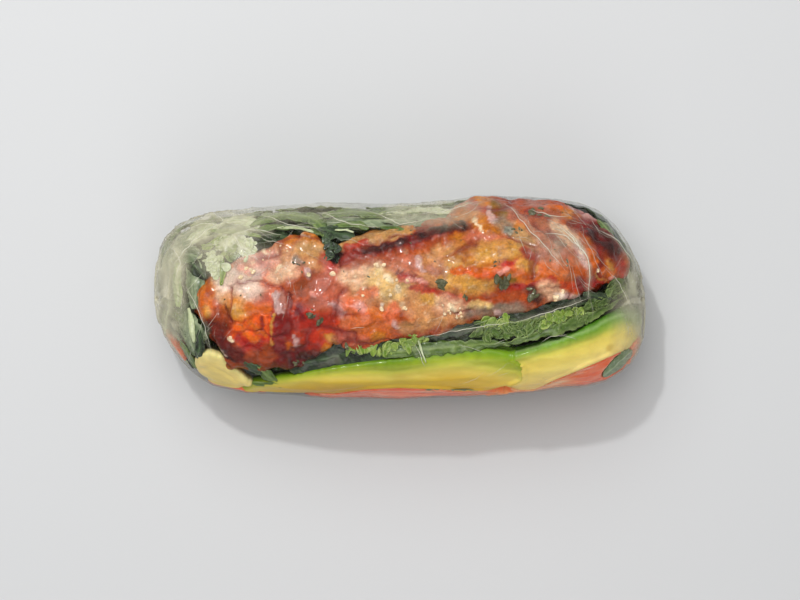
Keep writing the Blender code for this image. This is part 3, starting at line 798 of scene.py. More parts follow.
# %% Avocado slices
# distance from the skin side in millimetres, then the colour there
AVOCADO_BANDS = {
    "avocado_long": (
        (-1.0, (58, 90, 34)), (0.5, (98, 132, 52)), (1.6, (106, 142, 46)), (2.6, (114, 146, 46)),
        (3.6, (142, 160, 52)), (4.7, (170, 177, 72)), (5.7, (192, 185, 80)), (6.9, (212, 192, 92)),
        (8.4, (214, 183, 76)), (10.0, (212, 174, 66)), (12.0, (202, 158, 68)),
    ),
    "avocado_right": (
        # the pale band at 2.2 mm is a painted highlight stripe along the slice
        (-1.0, (50, 84, 30)), (0.6, (66, 104, 34)), (1.5, (84, 130, 44)), (2.2, (150, 182, 110)),
        (2.9, (116, 156, 58)), (3.9, (156, 178, 76)), (5.0, (206, 200, 92)), (6.4, (236, 216, 108)),
        (8.0, (248, 224, 118)), (10.0, (250, 226, 134)), (12.5, (240, 208, 134)),
    ),
    "avocado_wedge": (
        (-1.0, (200, 196, 112)), (1.0, (222, 208, 132)), (4.0, (234, 208, 122)),
        (8.0, (222, 196, 112)),
    ),
}


def from_back_edge(places):
    """How far each place is in front of the piece's own back edge, in millimetres."""
    steps = np.arange(places[:, 0].min(), places[:, 0].max() + 1.5, 1.5)
    slot = np.clip(np.digitize(places[:, 0], steps) - 1, 0, len(steps) - 1)
    edge = np.array([places[slot == n, 1].max() if np.any(slot == n) else np.nan
                     for n in range(len(steps))])
    edge = np.interp(steps, steps[~np.isnan(edge)], edge[~np.isnan(edge)])
    for _ in range(3):
        edge[1:-1] = (edge[:-2] + edge[1:-1] + edge[2:]) / 3
    return np.interp(places[:, 0], steps + 0.75, edge) - places[:, 1]


def ramp(value, table):
    """Read a colour table, given as (value, colour) rows, at each value."""
    rows = np.array([under_film(colour) for _, colour in table])
    stops = [stop for stop, _ in table]
    return np.column_stack([np.interp(value, stops, rows[:, n]) for n in range(3)])


# what the colour is multiplied by near the seam, or all over the small wedge
SEAM_TINT = {
    "avocado_long": (1.24, 1.2, 1.38), "avocado_right": (0.97, 0.87, 0.72),
    "avocado_wedge": (1.08, 1.1, 1.3),
}


def colour_avocado(node, piece, seed):
    points = points_of(piece.data)
    out = normals_of(piece.data)
    places = plan(points)
    long_way = points / MM * np.array([0.22, 1.0, 1.0])
    skin = from_back_edge(places)
    if node == "avocado_long":
        # the green thins out towards the slice's left tip
        skin = skin * np.interp(places[:, 0], (-38, -20, -2, 12, 27), (2.2, 1.6, 1.0, 0.95, 0.72))
    skin = skin + 0.7 * rough(long_way, 4.0, 3, seed) + 0.2 * rough(points / MM, 0.8, 2, seed + 1)
    coat = ramp(skin, AVOCADO_BANDS[node])
    # the two long slices come to one colour where they meet
    near_seam = {
        "avocado_long": smoothstep(places[:, 0], 0, 26),
        "avocado_right": 1 - smoothstep(places[:, 0], 22, 40),
        "avocado_wedge": np.ones(len(places)),
    }[node]
    streak = rough(long_way, 1.3, 3, seed + 4)
    coat = blend(coat, coat * SEAM_TINT[node], near_seam) * (1 + 0.10 * streak)[:, None]
    # short fibres run out from the skin, and show only in the green; their lighter streaks are a
    # painted shimmer, a painted highlight
    fibres = noise(points / MM * np.array([1.0, 0.25, 0.4]), 0.9, seed + 6)
    green = 1 - smoothstep(skin, 3.6, 5.4)
    coat = coat * (1 + 0.14 * fibres * green)[:, None]
    bruise = smoothstep(rough(long_way, 3.0, 2, seed + 9), 0.4, 0.8) * (1 - green)
    coat = blend(coat, under_film((190, 152, 64)), bruise * 0.5)
    height = 0.16 * rough(long_way, 3.5, 3, seed + 11) + 0.05 * fibres * green
    height -= 0.22 * np.exp(-((skin - 5.0) / 0.5) ** 2)
    set_points(piece.data, points + out * (height * MM)[:, None])
    return coat


FRONT_PIECES = ("avocado_long", "avocado_right", "ribbon_left", "ribbon_middle", "ribbon_right")
FLESH = food_material("avocado_flesh", coat=0.2, flesh=0.2, grain=900, mottle=200,
                      contrast=0.35, roughness=(0.3, 0.5), bump=0.05 * MM, stretch=(0.4, 1, 1))
for number, node in enumerate(AVOCADO_BANDS):
    piece = solid_copy(node + "_slice", node, voxel=0.5 * MM, smoothing=6, swell=0.3 * MM)
    meet(piece, [other for other in FRONT_PIECES if other != node], push=0.6 * MM)
    paint(piece, colour_avocado(node, piece, 400 + 20 * number))
    piece.data.materials.append(FLESH)
    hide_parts(node)
    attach(piece, BODY)
    print(piece.name, len(piece.data.polygons), "faces")

# %% [markdown]
# ## Vegetable ribbons and the herb leaf
#
# The ribbons are shaved from a root vegetable: a pink-orange sheet with fine ribs along
# its length and a paler, wet face. The herb leaf at the right is flat, with a midrib and
# side veins. Both lie pressed against the wrap, so their shapes are the frame's own,
# with only fine relief added.

# %% Ribbons and herb leaf
RIBBON_NODES = tuple("ribbon_" + part for part in ("left_end", "left", "middle", "right", "right_end"))
RIBBON_BANDS = (
    (-1.0, (224, 84, 44)), (-0.3, (240, 104, 60)),
    (0.2, (244, 124, 82)), (0.8, (246, 164, 130)))
PALE_BANDS = (
    (-1.0, (236, 116, 62)), (-0.3, (246, 142, 82)),
    (0.2, (250, 172, 112)), (0.8, (252, 208, 160)))
HERB_BANDS = (
    (-1.0, (80, 102, 62)), (0.0, (112, 136, 92)),
    (0.7, (146, 166, 124)), (1.0, (172, 184, 148)))

RIBBON_FLESH = food_material("ribbon_flesh", coat=0.6, flesh=0.2, grain=1300, mottle=300,
                             contrast=0.6, roughness=(0.22, 0.42), bump=0.05 * MM, stretch=(0.3, 1, 1))
LEAF_FLESH = food_material("leaf_flesh", coat=0.6, flesh=0.08, grain=1500, mottle=340,
                           contrast=1.1, roughness=(0.2, 0.42), bump=0.06 * MM)

for number, node in enumerate(RIBBON_NODES):
    piece = solid_copy(node + "_shaving", node, voxel=0.38 * MM, smoothing=4, swell=0.3 * MM)
    meet(piece, [other for other in FRONT_PIECES if other != node], push=0.5 * MM)
    points = points_of(piece.data)
    long_way = points / MM * np.array([0.16, 1.0, 1.0])
    ribs = rough(long_way, 1.1, 3, 500 + 10 * number)
    # the ribbon at the right is paler along its middle
    right = points[:, 0] / MM
    pale = 0.85 * smoothstep(right, 14, 28) * (1 - smoothstep(right, 40, 49))
    ribs_and_blush = ribs + 0.5 * noise(points / MM, 5.0, 505 + number)
    paint(piece, blend(ramp(ribs_and_blush, RIBBON_BANDS), ramp(ribs_and_blush, PALE_BANDS), pale))
    set_points(piece.data, points + normals_of(piece.data) * (0.12 * ribs * MM)[:, None])
    piece.data.materials.append(RIBBON_FLESH)
    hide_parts(node)
    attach(piece, BODY)

herb = solid_copy("herb_leaf_blade", "herb_leaf", voxel=0.22 * MM, smoothing=4)
points = points_of(herb.data)
places = warp(plan(points), [(2.0, 0.25)], 560)
herb_low, herb_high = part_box("herb_leaf")
stalk = plan(np.array([[herb_low.x, herb_low.y, 0]]))[0]
tip = plan(np.array([[herb_high.x, herb_high.y, 0]]))[0]
ahead = (tip - stalk) / np.linalg.norm(tip - stalk)
along = (places - stalk) @ ahead
across = (places - stalk) @ np.array([-ahead[1], ahead[0]])
midrib = np.exp(-(across / 0.22) ** 2)
side_veins = np.exp(-(((along - 0.8 * np.abs(across)) % 1.7 - 0.85) / 0.14) ** 2)
veins = np.maximum(midrib, 0.6 * side_veins)
paint(herb, ramp(veins + 0.35 * rough(points / MM, 1.0, 3, 565) - 0.1, HERB_BANDS))
set_points(herb.data, points + normals_of(herb.data) * (0.1 * veins * MM)[:, None])
herb.data.materials.append(LEAF_FLESH)
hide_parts("herb_leaf")
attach(herb, BODY)
print("ribbons:", len(RIBBON_NODES), "herb veins:", int((veins > 0.5).sum()), "points")

# %% [markdown]
# ## The skin of the roll as a flat map
#
# Leaves lie under the wrap, and the wrap lies over everything, so both follow the same
# rounded skin. A map makes that easy: `s` runs along the roll and over its ends, and
# `q` runs round it, both in millimetres. Rays cast at the frame's own wrap node give the
# skin's radius on a grid, and any place on the map can then be turned into a point at
# any depth below the skin.

# %% Skin map
AXIS_HEIGHT = 17.5 * MM
AXIS_HALF = 44.0 * MM     # the straight stretch, either side of the middle
TURN = 20.0 * MM          # arc length per radian over the ends and round the roll
S_END = AXIS_HALF + TURN * math.pi / 2
AXIS_Y = MIDDLE[1]
MAP_S, MAP_Q = 220, 180   # how many rays along the roll and round it
OUTSIDE = 60 * MM         # rays start this far from the axis
INNERMOST = 5 * MM        # the radius where a ray meets nothing


def skin_rays(s, q):
    """Origin on the axis and outward direction for each map place, in metres."""
    turn = np.clip(np.abs(s) - AXIS_HALF, 0, S_END - AXIS_HALF) / TURN * np.sign(s)
    angle = math.pi / 2 + q / TURN
    origin = np.column_stack([
        np.clip(s, -AXIS_HALF, AXIS_HALF), np.full(len(s), AXIS_Y), np.full(len(s), AXIS_HEIGHT)])
    way = np.column_stack([
        np.sin(turn), np.cos(turn) * np.cos(angle), np.cos(turn) * np.sin(angle)])
    return origin, way


def ray_radius(trees, origin, way, start, fallback):
    """The largest radius at which rays from outside meet any of the trees."""
    radius = np.full(len(origin), fallback)
    for tree in trees:
        for n in range(len(origin)):
            hit = tree.ray_cast(Vector(origin[n] + way[n] * start), Vector(-way[n]), start)
            if hit[0] is not None:
                radius[n] = max(radius[n], start - hit[3])
    return radius


grid_s, grid_q = np.meshgrid(
    np.linspace(-S_END, S_END, MAP_S), np.arange(MAP_Q) / MAP_Q * 2 * math.pi * TURN, indexing="ij")
origin, way = skin_rays(grid_s.ravel(), grid_q.ravel())
SKIN = ray_radius([node_tree("rice_paper")], origin, way, OUTSIDE, INNERMOST).reshape(MAP_S, MAP_Q)


def read_map(values, s, q):
    """Read a gridded value anywhere on the map, wrapping round the roll."""
    i = np.clip((s + S_END) / (2 * S_END) * (len(values) - 1), 0, len(values) - 1.001)
    j = (q / (2 * math.pi * TURN) % 1.0) * values.shape[1]
    i0 = i.astype(int)
    j0 = j.astype(int) % values.shape[1]
    j1 = (j0 + 1) % values.shape[1]
    fi, fj = i - i0, j - np.floor(j)
    low_side = values[i0, j0] * (1 - fj) + values[i0, j1] * fj
    high_side = values[i0 + 1, j0] * (1 - fj) + values[i0 + 1, j1] * fj
    return low_side * (1 - fi) + high_side * fi


def skin_points(s, q, depth, values=None):
    """Points at a depth below the skin, for places on the map (all in metres)."""
    origin, way = skin_rays(s, q)
    radius = read_map(SKIN if values is None else values, s, q) - depth
    return origin + way * radius[:, None]


def map_places(points):
    """The map place under each point."""
    inside = points - np.array([0, AXIS_Y, AXIS_HEIGHT])
    along = np.clip(inside[:, 0], -AXIS_HALF, AXIS_HALF)
    beyond = inside[:, 0] - along
    turn = np.arctan2(np.abs(beyond), np.hypot(inside[:, 1], inside[:, 2])) * TURN
    angle = np.arctan2(inside[:, 2], inside[:, 1])
    q = (angle - math.pi / 2 + math.pi) % (2 * math.pi) - math.pi
    return along + np.sign(beyond) * turn, q * TURN


WRAP_TREE = node_tree("rice_paper")


def from_above(path):
    """Map places for a path seen from above, given in millimetres from the middle."""
    found = []
    for x, y in path:
        top = Vector((MIDDLE.x + x * MM, MIDDLE.y + y * MM, ABOVE))
        hit = WRAP_TREE.ray_cast(top, DOWN)[0]
        if hit is None:
            hit = WRAP_TREE.find_nearest(Vector((top.x, top.y, AXIS_HEIGHT)))[0]
        found.append(hit)
    return np.column_stack(map_places(np.array(found)))


print("skin radius from", round(SKIN.min() / MM, 1), "to", round(SKIN.max() / MM, 1), "mm")

# %% [markdown]
# ## Leaves
#
# Salad in a roll is flattened against the wrap: broad leaves, curled lettuce edges and
# a few pale stems. One blade is a grid of points drawn on the skin map along a path,
# widest in the middle, and pressed to a small depth under the skin. The blade is given
# a midrib, side veins, blisters and a ruffled edge, and then a thickness, so that each
# leaf is a closed thin solid.

# %% Leaf blades
LEAF_TONES = {
    "dark": ((30, 40, 34), (58, 72, 54), (96, 118, 82)),
    "green": ((56, 76, 34), (98, 124, 58), (150, 168, 104)),
    "grey": ((84, 98, 74), (128, 142, 108), (176, 186, 150)),
    "lime": ((82, 112, 34), (130, 158, 60), (196, 208, 124)),
    "pale": ((168, 180, 132), (220, 226, 178), (248, 248, 226)),
    "stem": ((132, 160, 92), (184, 204, 130), (224, 232, 188)),
}


def along_path(path, count):
    """Evenly spaced places on a smooth curve through a short path."""
    path = np.asarray(path, float)
    length = np.concatenate([[0], np.cumsum(np.linalg.norm(np.diff(path, axis=0), axis=1))])
    share = np.linspace(0, length[-1], 8 * len(path))
    dense = np.column_stack([np.interp(share, length, path[:, n]) for n in range(2)])
    for _ in range(10):
        dense[1:-1] = 0.25 * dense[:-2] + 0.5 * dense[1:-1] + 0.25 * dense[2:]
    length = np.concatenate([[0], np.cumsum(np.linalg.norm(np.diff(dense, axis=0), axis=1))])
    share = np.linspace(0, length[-1], count)
    return np.column_stack([np.interp(share, length, dense[:, n]) for n in range(2)]), length[-1]


def closed_sheet(top, thickness):
    """A thin closed solid under a grid of points: upper face, lower face and a rim."""
    rows, columns = top.shape[:2]
    du = np.gradient(top, axis=0)
    dv = np.gradient(top, axis=1)
    out = np.cross(dv, du)
    out /= np.maximum(np.linalg.norm(out, axis=2), 1e-9)[..., None]
    index = np.arange(rows * columns).reshape(rows, columns)
    upper = np.stack([index[:-1, :-1], index[:-1, 1:], index[1:, 1:], index[1:, :-1]], -1)
    rim = np.concatenate([index[0, :-1], index[:-1, -1], index[-1, :0:-1], index[:0:-1, 0]])
    after = np.roll(rim, -1)
    lower = rows * columns
    side = np.stack([rim, rim + lower, after + lower, after], -1)
    faces = np.concatenate([upper.reshape(-1, 4), upper.reshape(-1, 4)[:, ::-1] + lower, side])
    below = top - out * thickness[..., None]
    return np.concatenate([top.reshape(-1, 3), below.reshape(-1, 3)]), faces


def face_outwards(mesh):
    bm = bmesh.new()
    bm.from_mesh(mesh)
    bmesh.ops.recalc_face_normals(bm, faces=bm.faces)
    bm.to_mesh(mesh)
    bm.free()


class Pile:
    """Blades collected into one mesh, with their paint."""

    def __init__(self):
        self.points, self.faces, self.colours, self.count = [], [], [], 0

    def add(self, points, faces, colours):
        self.faces.append(faces + self.count)
        self.points.append(points)
        self.colours.append(colours)
        self.count += len(points)

    def piece(self, name, material):
        mesh = bpy.data.meshes.new(name)
        faces = np.concatenate(self.faces)
        mesh.from_pydata(np.concatenate(self.points).tolist(), [], faces.tolist())
        mesh.update()
        made = add_piece(name, mesh)
        face_outwards(mesh)
        shade_smooth(mesh)
        paint(made, np.concatenate(self.colours))
        mesh.materials.append(material)
        return made


BLADE_THICKNESS = 0.16 * MM
RIB_THICKNESS = 0.2 * MM          # more than that along the midrib
VEIN_GAP = 2.6                    # millimetres from one side vein to the next


def leaf(pile, path, width, tone, seed, depth, ruffle, edge, taper=0.7, step=0.45):
    """One blade along a map path in metres: half width, tone, and how it is ruffled."""
    length = np.linalg.norm(np.diff(path, axis=0), axis=1).sum() / MM
    rows = int(np.clip(length / step, 12, 90))
    columns = int(np.clip(width * 2 / step, 6, 30)) // 2 * 2 + 1
    centre, _ = along_path(path, rows)
    heading = np.gradient(centre, axis=0)
    heading /= np.linalg.norm(heading, axis=1)[:, None]
    side = np.column_stack([-heading[:, 1], heading[:, 0]])
    u = np.linspace(0, 1, rows)
    v = np.linspace(-1, 1, columns)
    spread = np.clip(np.sin(math.pi * np.clip(u * 0.94 + 0.03, 0, 1)), 0, 1) ** taper
    uu, vv = np.meshgrid(u, v, indexing="ij")
    at = np.column_stack([uu.ravel() * length, vv.ravel() * width * 2, np.full(uu.size, seed * 3.7)])
    flat = at * np.array([1, 0, 1])
    ragged = rough(flat, 2.2, 3, seed) + 0.8 * noise(flat, 0.9, seed + 1)
    frill = (1 + edge * ragged).reshape(uu.shape)
    reach = width * MM * spread[:, None] * vv * frill
    place = centre[:, None, :] + side[:, None, :] * reach[..., None]
    # the rise of the blade: ribs up, blisters, and an edge that ruffles most at the rim
    rim = np.abs(vv) ** 2
    wave = noise(at * np.array([1, 0.4, 1]), 2.2, seed + 3).reshape(uu.shape)
    wave += 0.5 * noise(at * np.array([1, 0.5, 1]), 1.0, seed + 4).reshape(uu.shape)
    fine = rough(at, 1.5, 3, seed + 5).reshape(uu.shape)
    rib = np.exp(-(vv * width / 0.35) ** 2) * (width > 1.2)
    slant = uu * length - 0.9 * np.abs(vv) * width + 0.5 * fine
    vein = np.exp(-(((slant / VEIN_GAP) % 1.0 - 0.5) * VEIN_GAP / 0.16) ** 2)
    vein = vein * (1 - rib) * (width > 1.2)
    rise = 0.2 * rib + 0.12 * vein + 0.34 * fine + ruffle * rim * wave
    sink = (depth - rise) * MM
    top = skin_points(place[..., 0].ravel(), place[..., 1].ravel(), sink.ravel())
    points, faces = closed_sheet(top.reshape(*uu.shape, 3), BLADE_THICKNESS + RIB_THICKNESS * rib)
    low_tone, mid_tone, high_tone = (under_film(c) for c in LEAF_TONES[tone])
    streaks = rough(at * np.array([0.25, 1, 1]), 1.6, 3, seed + 8)
    shade = np.clip(0.5 + 0.5 * rough(at, 4.0, 3, seed + 9) + 0.45 * streaks - 0.15 * rim.ravel(), 0, 1)
    coat = np.outer(1 - shade, low_tone) + np.outer(shade, mid_tone)
    # paler ribs, veins and streaks, and painted highlights where blisters and the ruffled rim rise
    light = 0.5 * rib + 0.3 * vein + 0.5 * np.clip(fine, 0, 1) + 0.5 * rim * np.clip(wave, 0, 1)
    light += 0.5 * smoothstep(streaks, 0.2, 0.6).reshape(uu.shape) + 0.3 * rim * (edge > 0.3)
    coat = blend(coat, high_tone, np.clip(light, 0, 1).ravel())
    # the lower face is painted a fifth darker than the upper: painted shade
    pile.add(points, faces, np.concatenate([coat, coat * 0.8]))

# %% [markdown]
# ### Where the leaves lie
#
# The blades that show from above are placed one by one: stems folded up at the left end,
# broad leaves along the back, a dark valley between meat and avocado, and pale lobes at
# the right end. Curly lettuce is not one blade but many: a row of small ruffled lobes
# scattered along a path by a seeded generator. The rest of the roll is wrapped in
# leaves too, so another seeded loop lays more of them round the back, the underside and
# the ends, wherever no filling touches the skin.

# %% Lay the leaves
# pile, tone, half width, depth, ruffle, edge, then the path from above, in millimetres
LEAVES = (
    # the left end
    ("leaf", "grey", 3.6, 2.0, 0.5, 0.15, (-60, 10), (-57, 17), (-48, 21.6)),
    ("leaf", "pale", 2.4, 1.5, 0.5, 0.3, (-58, 13), (-53, 17.6), (-45, 20.8)),
    ("leaf", "grey", 3.4, 1.8, 0.4, 0.15, (-54, 12), (-53.4, 4), (-53.4, -3)),
    ("leaf", "dark", 2.3, 1.5, 0.4, 0.2, (-56.4, 10.2), (-53, 9), (-50.2, 5.4)),
    ("leaf", "pale", 2.2, 1.4, 0.5, 0.3, (-46, 21.6), (-40, 21.2), (-36, 19.4)),
    ("stem", "stem", 1.9, 0.9, 0.1, 0.05, (-57.9, 9.4), (-58.2, 3.6), (-57.6, -2.4)),
    ("stem", "pale", 0.45, 0.6, 0.1, 0.05, (-57.2, 8.4), (-57.6, 3.6), (-57.4, -1)),
    # the dark leaf below is laid where a V of shade falls: a painted shadow
    ("leaf", "dark", 1.5, 1.3, 0.3, 0.2, (-60.2, -2.6), (-57.4, -3.2), (-54.6, -1.4)),
    ("stem", "pale", 0.45, 0.6, 0.1, 0.05, (-59.8, -1.4), (-61, -5.6), (-62.3, -10.8)),
    ("stem", "lime", 0.8, 0.9, 0.1, 0.05, (-61.6, -3), (-62.9, -7), (-62.8, -10)),
    ("leaf", "grey", 4.6, 1.4, 0.3, 0.15, (-56.4, -2.6), (-54.8, -9), (-52.6, -16)),
    ("leaf", "pale", 1.1, 1.0, 0.2, 0.2, (-54.6, -2.6), (-53.8, -7), (-53.2, -12)),
    ("leaf", "dark", 1.3, 1.0, 0.3, 0.2, (-51.6, -8.6), (-51.4, -13), (-52.6, -16)),
    ("leaf", "green", 2.1, 1.1, 0.3, 0.2, (-57, -11.6), (-55.2, -15.6), (-52.8, -19)),
    ("leaf", "pale", 1.2, 1.2, 0.2, 0.2, (-61.2, -12.4), (-58.8, -15.8), (-56.4, -18.6)),
    ("stem", "green", 0.8, 0.9, 0.1, 0.1, (-48, 23), (-48.8, 21.4), (-50.4, 20.2)),
    ("stem", "lime", 0.6, 0.9, 0.1, 0.1, (-54.6, 19.7), (-51.4, 19.9), (-48.8, 20.8)),
    ("stem", "lime", 0.7, 0.5, 0.1, 0.1, (-49.4, 17.8), (-43, 17.4), (-35.4, 16.1)),
    ("leaf", "lime", 0.8, 0.7, 0.4, 0.3, (-45.4, 10.8), (-45, 7), (-45.5, 3.4)),
    ("frill", "pale", 1.7, 1.1, 0.6, 0.4, (-50, 9.4), (-47.6, 8.8), (-46, 5.8)),
    ("frill", "pale", 2.2, 1.0, 0.7, 0.4, (-45, 13.4), (-40.6, 14.2), (-36.6, 12.2)),
    # the broad leaves along the back
    ("leaf", "green", 2.1, 1.3, 0.5, 0.15, (-37, 21), (-29, 22.9), (-22.6, 21.8), (-19.8, 19.6),
     (-19.3, 16.6)),
    ("leaf", "green", 1.3, 1.0, 0.4, 0.2, (-38.4, 19.4), (-35.4, 20.6), (-31, 21.8)),
    ("leaf", "dark", 1.9, 2.0, 0.5, 0.2, (-34, 19.8), (-28, 20.6), (-23, 18.8)),
    ("leaf", "dark", 2.6, 2.3, 0.6, 0.2, (-40, 18), (-33, 18.4), (-27, 17)),
    ("stem", "pale", 0.4, 0.8, 0.1, 0.05, (-31.4, 18.8), (-26, 18.8), (-22, 17.4)),
    ("leaf", "green", 0.9, 1.0, 0.4, 0.3, (-36.8, 18), (-32, 19.2), (-28.2, 18.4)),
    ("leaf", "green", 1.9, 1.4, 0.4, 0.2, (-20, 22.4), (-11, 23.7), (-3.6, 22.4)),
    ("leaf", "grey", 2.8, 1.8, 0.4, 0.15, (-20, 20.4), (-8, 21.4), (4, 21.4)),
    ("leaf", "green", 1.3, 1.1, 0.4, 0.2, (-17, 19.4), (-12, 20.2), (-8, 18.6)),
    ("leaf", "pale", 2.2, 1.4, 0.4, 0.15, (-5, 22.8), (4.4, 24.6), (13, 23.6)),
    ("leaf", "grey", 2.6, 1.8, 0.4, 0.15, (-2, 20.4), (6, 21.8), (16, 23)),
    ("leaf", "green", 0.6, 1.1, 0.2, 0.1, (-5, 18.9), (-1.6, 18.8), (1.6, 18.2)),
    ("frill", "dark", 2.0, 1.1, 0.8, 0.5, (-21, 18.6), (-17, 17.6), (-11, 16)),
    ("frill", "dark", 0.8, 0.9, 0.5, 0.4, (-18.2, 17), (-18.4, 15.8), (-18.4, 14.4)),
    ("stem", "pale", 0.25, 0.7, 0.1, 0.05, (-16.6, 18), (-14, 18), (-11.8, 17.4)),
    # the right end
    ("leaf", "grey", 3.4, 1.4, 0.5, 0.3, (52, 20.5), (57.4, 14.6), (60.6, 8)),
    ("leaf", "pale", 3.0, 1.3, 0.6, 0.35, (56.6, 12), (60.6, 6.4), (62.4, 0.5)),
    ("leaf", "green", 1.6, 0.9, 0.4, 0.3, (51.2, 21), (53.4, 19), (54.4, 16)),
    # the valley between meat and avocado
    ("leaf", "dark", 3.6, 2.2, 0.6, 0.3, (-30, -19), (-17, -16.2), (0, -12.6), (16, -9.8)),
    ("leaf", "dark", 3.6, 2.2, 0.6, 0.3, (8, -11.2), (24, -8.6), (38, -4.6), (54, 0.4)),
    ("leaf", "dark", 2.2, 1.6, 0.5, 0.3, (-14, -14.8), (0, -11.8), (12, -9), (30, -6.2)),
    ("leaf", "green", 2.0, 1.5, 0.8, 0.4, (18, -10.4), (27, -8.4), (34, -7.4), (44, -5.4)),
    ("leaf", "green", 2.0, 1.2, 0.8, 0.4, (47, -3.6), (53.4, -0.6), (58.6, 3.2)),
    ("leaf", "dark", 1.4, 1.0, 0.4, 0.3, (46.6, 1), (50.6, 0.6), (55, 0)),
    ("frill", "green", 1.2, 0.9, 0.7, 0.5, (26, -12.2), (36, -9.5), (45, -6.2), (53, -3.2), (58, 0)),
    ("leaf", "green", 1.3, 1.0, 0.5, 0.3, (-6, -15.2), (6, -13.4), (18, -12.4), (28, -12)),
    ("stem", "pale", 0.22, 0.55, 0.05, 0.05, (4.6, -11), (5.4, -13.6), (6.6, -16.8)),
    # the front corner at the left, and slivers along the front
    ("leaf", "green", 1.6, 1.0, 0.4, 0.3, (-36.6, -18), (-34.4, -20.4), (-31.6, -22.4)),
    ("frill", "dark", 1.4, 0.9, 0.5, 0.4, (-39.6, -16.8), (-37.6, -18.4), (-35.4, -20)),
    ("leaf", "green", 0.8, 0.9, 0.2, 0.2, (-38, -22.8), (-34, -23.2), (-29, -23.4)),
    ("leaf", "grey", 0.5, 0.6, 0.1, 0.1, (5.6, -23.6), (13, -24.2), (20, -24.4)),
    ("leaf", "green", 2.0, 1.4, 0.4, 0.3, (34, -22.4), (44, -20.6), (54, -16.4)),
)

# tone, how many lobes, how far they stray, depth, then the path, in millimetres
CURLS = (
    ("lime", 26, 0.8, 0.9, (-49.6, 14.6), (-46, 14.8), (-43, 12)),
    ("pale", 46, 1.2, 0.7, (-46, 14.6), (-41.6, 14.4), (-37, 12.6)),
    ("pale", 30, 1.1, 0.8, (-49.6, 12), (-47.6, 9.6), (-46, 7)),
    ("green", 8, 0.5, 0.8, (-42.6, 12.8), (-42.2, 10.6)),
    ("dark", 14, 0.7, 1.0, (-19.6, 17), (-17.4, 14.6), (-17.6, 12)),
    ("lime", 26, 0.25, 1.0, (-13.4, -13.9), (-6, -14), (-0.8, -13)),
    ("lime", 16, 0.7, 0.8, (0.6, -12.6), (3, -11), (5.2, -11.8)),
    ("green", 60, 1.0, 1.1, (19.6, -9.6), (26, -8.6), (34, -8.2)),
    ("lime", 14, 0.5, 1.0, (21.6, -6.8), (28, -6)),
    ("lime", 34, 0.55, 0.8, (36, -6.2), (41, -5), (46.4, -3.8)),
    ("green", 40, 0.8, 1.0, (30, -8.8), (40, -6.8), (47.6, -5)),
    ("green", 40, 1.1, 0.9, (47.6, -2.4), (53, -0.6), (58, 2.6)),
    ("dark", 16, 0.7, 1.1, (-9, -12.6), (4, -9.4), (16, -7.6)),
)

piles = {"leaf": Pile(), "frill": Pile(), "stem": Pile()}
for number, (kind, tone, width, depth, ruffle, edge, *path) in enumerate(LEAVES):
    leaf(piles[kind], from_above(path), width, tone, 600 + 13 * number, depth, ruffle, edge,
         taper=0.35 if kind == "stem" else 0.6)

rng = np.random.default_rng(7)
for tone, count, stray, depth, *path in CURLS:
    spine, _ = along_path(from_above(path), 60)
    for number in range(count):
        middle = spine[rng.integers(60)] + rng.normal(0, stray * MM, 2)
        turn = rng.uniform(0, 2 * math.pi)
        reach = rng.uniform(0.7, 1.5) * MM
        ahead = np.array([math.cos(turn), math.sin(turn)]) * reach
        aside = np.array([-ahead[1], ahead[0]]) * rng.uniform(-0.5, 0.5)
        leaf(piles["frill"], np.array([middle - ahead, middle + aside, middle + ahead]),
             rng.uniform(0.45, 0.95), tone, 3000 + int(rng.integers(5000)),
             depth + rng.uniform(-0.35, 0.45), ruffle=0.4, edge=0.45, taper=0.45)

# the leaves round the back, the underside and the ends
rng = np.random.default_rng(11)
FILLING_TREES = [node_tree(name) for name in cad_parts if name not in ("rice_paper", "greens")]
HIDDEN_TONES = ("grey", "green", "grey", "dark", "pale", "green")
TRIES = 140                           # some of these land on a filling and are left out
TOP_HALF, TOP_REACH = 21 * MM, 58 * MM    # the top, where the placed leaves are
BACK_REACH = 42 * MM                      # the back goes down this far round the roll
hidden_piles = {"back_leaf": Pile(), "under_leaf": Pile()}
laid = 0
for number in range(TRIES):
    s = rng.uniform(-1, 1) * (S_END - 4 * MM)
    q = rng.uniform(-math.pi, math.pi) * TURN
    heading = rng.normal(0, 0.5)
    width = rng.uniform(3.2, 6.0)
    length = rng.uniform(18, 34) * MM
    bend = rng.uniform(-0.4, 0.4)
    spine = np.array([[s + math.cos(heading + bend * t) * length * t,
                       q + math.sin(heading + bend * t) * length * t] for t in (-0.5, 0, 0.5)])
    spine[:, 0] = np.clip(spine[:, 0], -S_END + 3 * MM, S_END - 3 * MM)
    origin, way = skin_rays(*spine.T)
    skin_there = read_map(SKIN, *spine.T)
    filled = ray_radius(FILLING_TREES, origin, way, OUTSIDE, 0.0) > skin_there - 4 * MM
    if filled.any() or (abs(q) < TOP_HALF and abs(s) < TOP_REACH):
        continue
    pile = hidden_piles["back_leaf" if -BACK_REACH < q < 0 else "under_leaf"]
    leaf(pile, spine, width, HIDDEN_TONES[number % len(HIDDEN_TONES)], 2000 + 17 * number,
         rng.uniform(1.2, 2.4), ruffle=0.5, edge=0.25, step=0.75)
    laid += 1
print("leaves placed:", len(LEAVES), "and laid by the loop:", laid)

for kind, pile in {**piles, **hidden_piles}.items():
    made = pile.piece(f"salad_{kind}", LEAF_FLESH)
    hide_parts("greens")
    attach(made, BODY)
    print(made.name, len(made.data.polygons), "faces")

# %% [markdown]
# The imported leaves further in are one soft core, sunk below the blades. It is the
# frame's own bundle, shrunk along its normals and creased.

